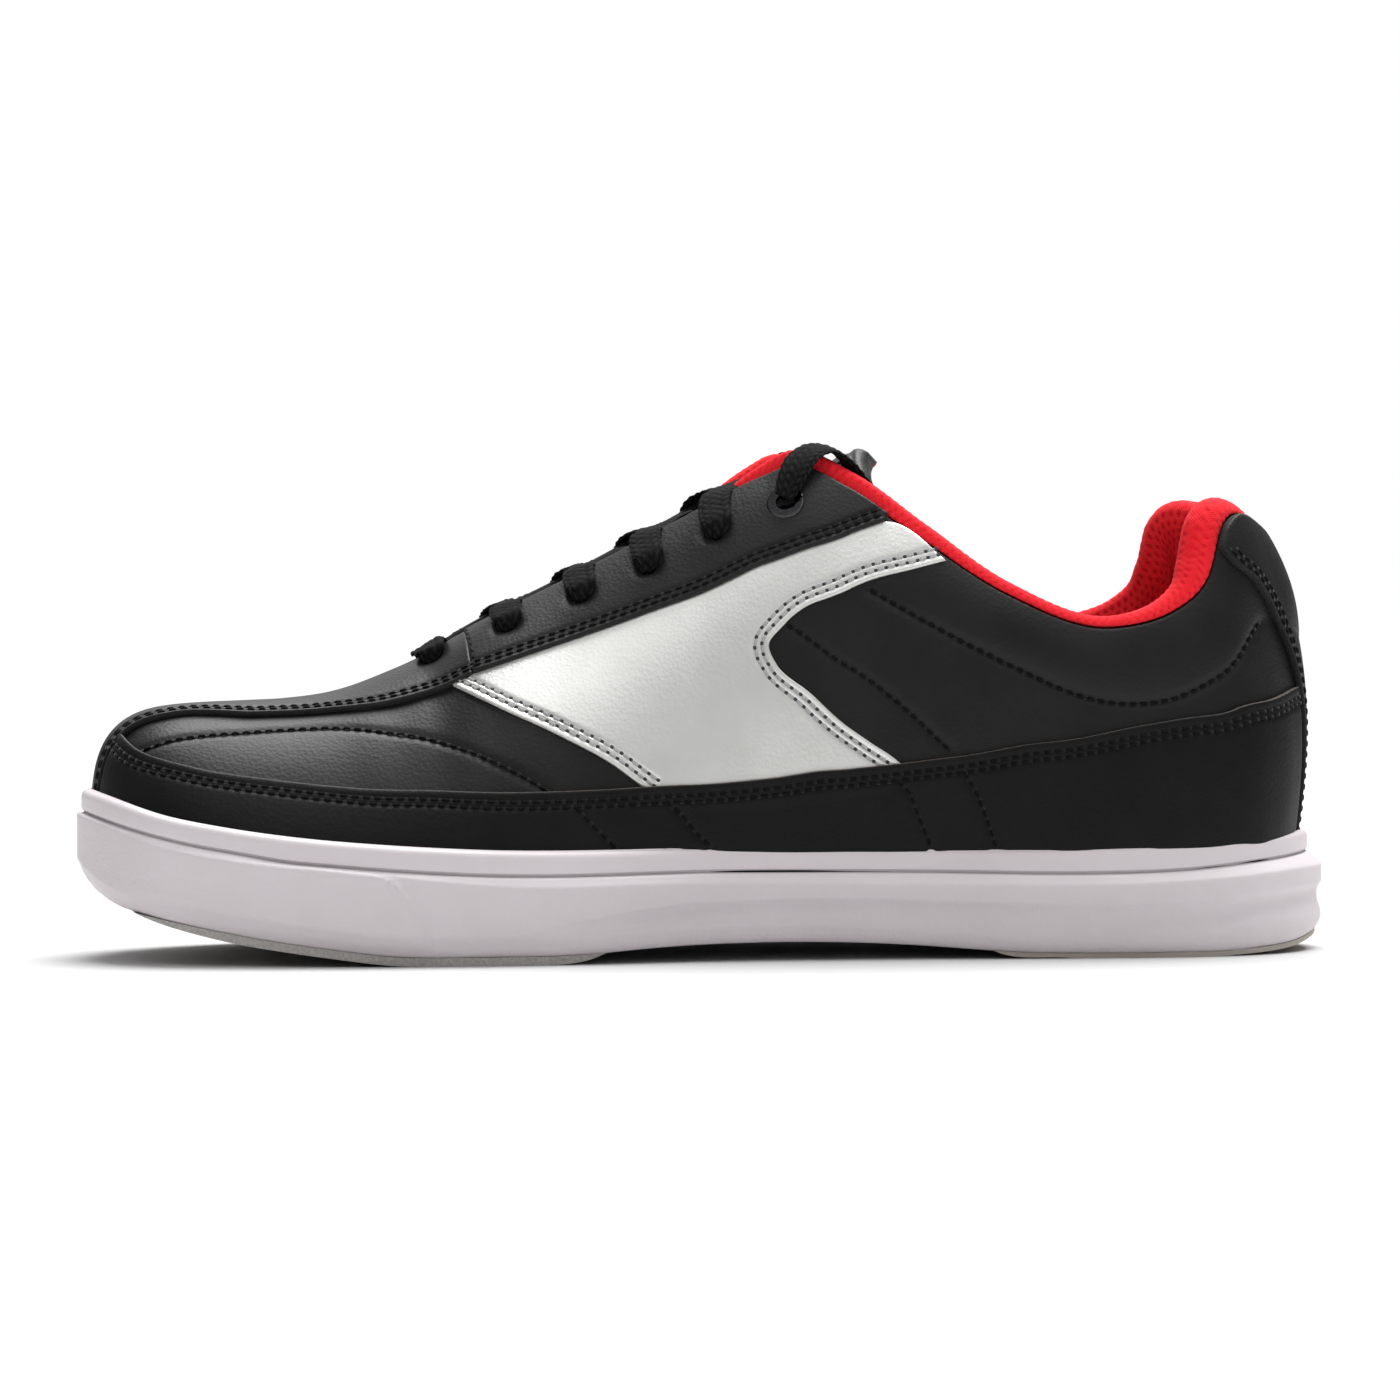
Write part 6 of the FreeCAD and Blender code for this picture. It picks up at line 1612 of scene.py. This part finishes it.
def sockliner():
    """Padded insole: top cloth with slightly raised edges, foam below."""
    r = np.linspace(0, 2, 420, endpoint=False)
    foot = point(r, 0.0)[:, :2]
    along = unit(np.roll(foot, -1, 0) - np.roll(foot, 1, 0))
    out = np.stack([along[:, 1], -along[:, 0]], 1)
    if np.sum(out * foot) < 0:
        out = -out
    x = foot[:, 0]
    spine = np.stack([np.clip(x, -112, 112), track(MIDDLE, np.clip(x, -112, 112))], 1)
    rows = []
    for inset, rise in ((4.4, SOCK_FOAM_LOW), (3.7, SOCK_FOAM_LOW + 0.5), (3.6, 7.6), (3.9, 8.9), (4.6, 9.6),
                        (5.6, SOCK_TOP)):
        flat = foot - out * inset
        rows.append(np.concatenate([flat, (track(CUP_FLOOR, flat[:, 0]) + rise)[:, None]], 1))
    rim_flat = rows[-1][:, :2]
    for share in (0.12, 0.25, 0.4, 0.55, 0.7, 0.85, 1.0):
        flat = mix(rim_flat, spine, share)
        dish = -0.35 * math.sin(share * math.pi / 2)
        rows.append(np.concatenate([flat, (track(CUP_FLOOR, flat[:, 0]) + SOCK_TOP + dish)[:, None]], 1))
    low = []
    for share in (1.0, 0.66, 0.33):
        flat = mix(rows[0][:, :2], spine, share)
        low.append(np.concatenate([flat, (track(CUP_FLOOR, flat[:, 0]) + SOCK_FOAM_LOW)[:, None]], 1))
    points = np.stack(low + rows, 1)
    quads = grid_quads(len(r), points.shape[1], closed_rows=True)
    outward = np.zeros_like(points)
    outward[..., 2] = 1.0
    probe = np.tile(np.arange(points.shape[1] - 1), len(r)) > 10
    flat_points = points.reshape(-1, 3)
    if not facing(flat_points, quads[probe], outward.reshape(-1, 3)):
        quads = quads[:, ::-1]
    slots = np.tile((np.arange(points.shape[1] - 1) < 5).astype(int), len(r))
    obj = make("sockliner", flat_points, quads, ("sock", "eva"), slots, slot="sock_cloth",
               replaces=("sockliner_foam", "sockliner_cover"))
    weld(obj)


# ---- CAD pieces that keep their shape ---------------------------------------------------------------
def dress():
    finishes = {
        "slide_pad": "slide", "heel_pad": "heel_rubber", "midsole_filler": "eva", "shank": "steel",
        "insole_board": "board", "toe_puff": "stiff", "heel_counter": "stiff", "vamp_lining": "lining",
        "eyelet_ring_medial": "chrome", "eyelet_ring_lateral": "chrome",
    }
    for node, finish in finishes.items():
        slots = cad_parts[node].material_slots
        for place in slots:
            place.link = "OBJECT"
            place.material = M[finish]


# ---- studio -----------------------------------------------------------------------------------------
def area_light(name, location, size, power, target=(0.0, 0.0, 0.05), colour=(1.0, 1.0, 1.0)):
    data = bpy.data.lights.new(name, "AREA")
    data.shape, data.size, data.size_y = "RECTANGLE", *size
    data.energy, data.color = power, colour
    light = bpy.data.objects.new(name, data)
    light.location = location
    light.rotation_euler = (Vector(target) - Vector(location)).to_track_quat("-Z", "Y").to_euler()
    bpy.context.scene.collection.objects.link(light)


def studio():
    n = Nodes("paper", (0.62, 0.62, 0.62), 0.95, Specular_IOR_Level=0.0)
    n.bump((n.noise(900.0, 2.0), 0.02))
    mesh = bpy.data.meshes.new("floor")
    half = 30.0
    mesh.from_pydata([(-half, -half, 0), (half, -half, 0), (half, half, 0), (-half, half, 0)], [], [(0, 1, 2, 3)])
    mesh.materials.append(n.material)
    floor = bpy.data.objects.new("floor", mesh)
    bpy.context.scene.collection.objects.link(floor)
    world = bpy.data.worlds.new("studio")
    bpy.context.scene.world = world
    world.use_nodes = True
    tree = world.node_tree
    soft = tree.nodes["Background"]
    soft.inputs["Color"].default_value = (1.0, 1.0, 1.0, 1.0)
    soft.inputs["Strength"].default_value = 0.16
    backdrop = tree.nodes.new("ShaderNodeBackground")
    backdrop.inputs["Color"].default_value = (1.0, 1.0, 1.0, 1.0)
    backdrop.inputs["Strength"].default_value = 1.0
    seen = tree.nodes.new("ShaderNodeLightPath")
    blend = tree.nodes.new("ShaderNodeMixShader")
    tree.links.new(seen.outputs["Is Camera Ray"], blend.inputs[0])
    tree.links.new(soft.outputs[0], blend.inputs[1])
    tree.links.new(backdrop.outputs[0], blend.inputs[2])
    tree.links.new(blend.outputs[0], tree.nodes["World Output"].inputs["Surface"])
    sun = bpy.data.lights.new("sky_panel", "SUN")
    sun.energy, sun.angle = 5.2, math.radians(50.0)
    lamp = bpy.data.objects.new("sky_panel", sun)
    lamp.rotation_euler = Vector((-0.20, -0.36, -1.0)).to_track_quat("-Z", "Y").to_euler()
    bpy.context.scene.collection.objects.link(lamp)
    area_light("back_softbox", (0.05, 1.5, 0.95), (2.4, 0.9), 7.0)
    area_light("high_softbox", (0.10, -0.75, 1.20), (1.9, 0.7), 6.0)
    area_light("front_fill", (0.45, -1.3, 0.60), (1.2, 0.5), 0.7)
    bpy.context.scene.view_settings.view_transform = "Standard"


# ---- build ------------------------------------------------------------------------------------------
for end in ("medial", "lateral"):
    lace_end(end)
lace()
cupsole()
sockliner()
both_sides()
build_strip()
heel_tab()
collar()
tongue()
dress()
studio()
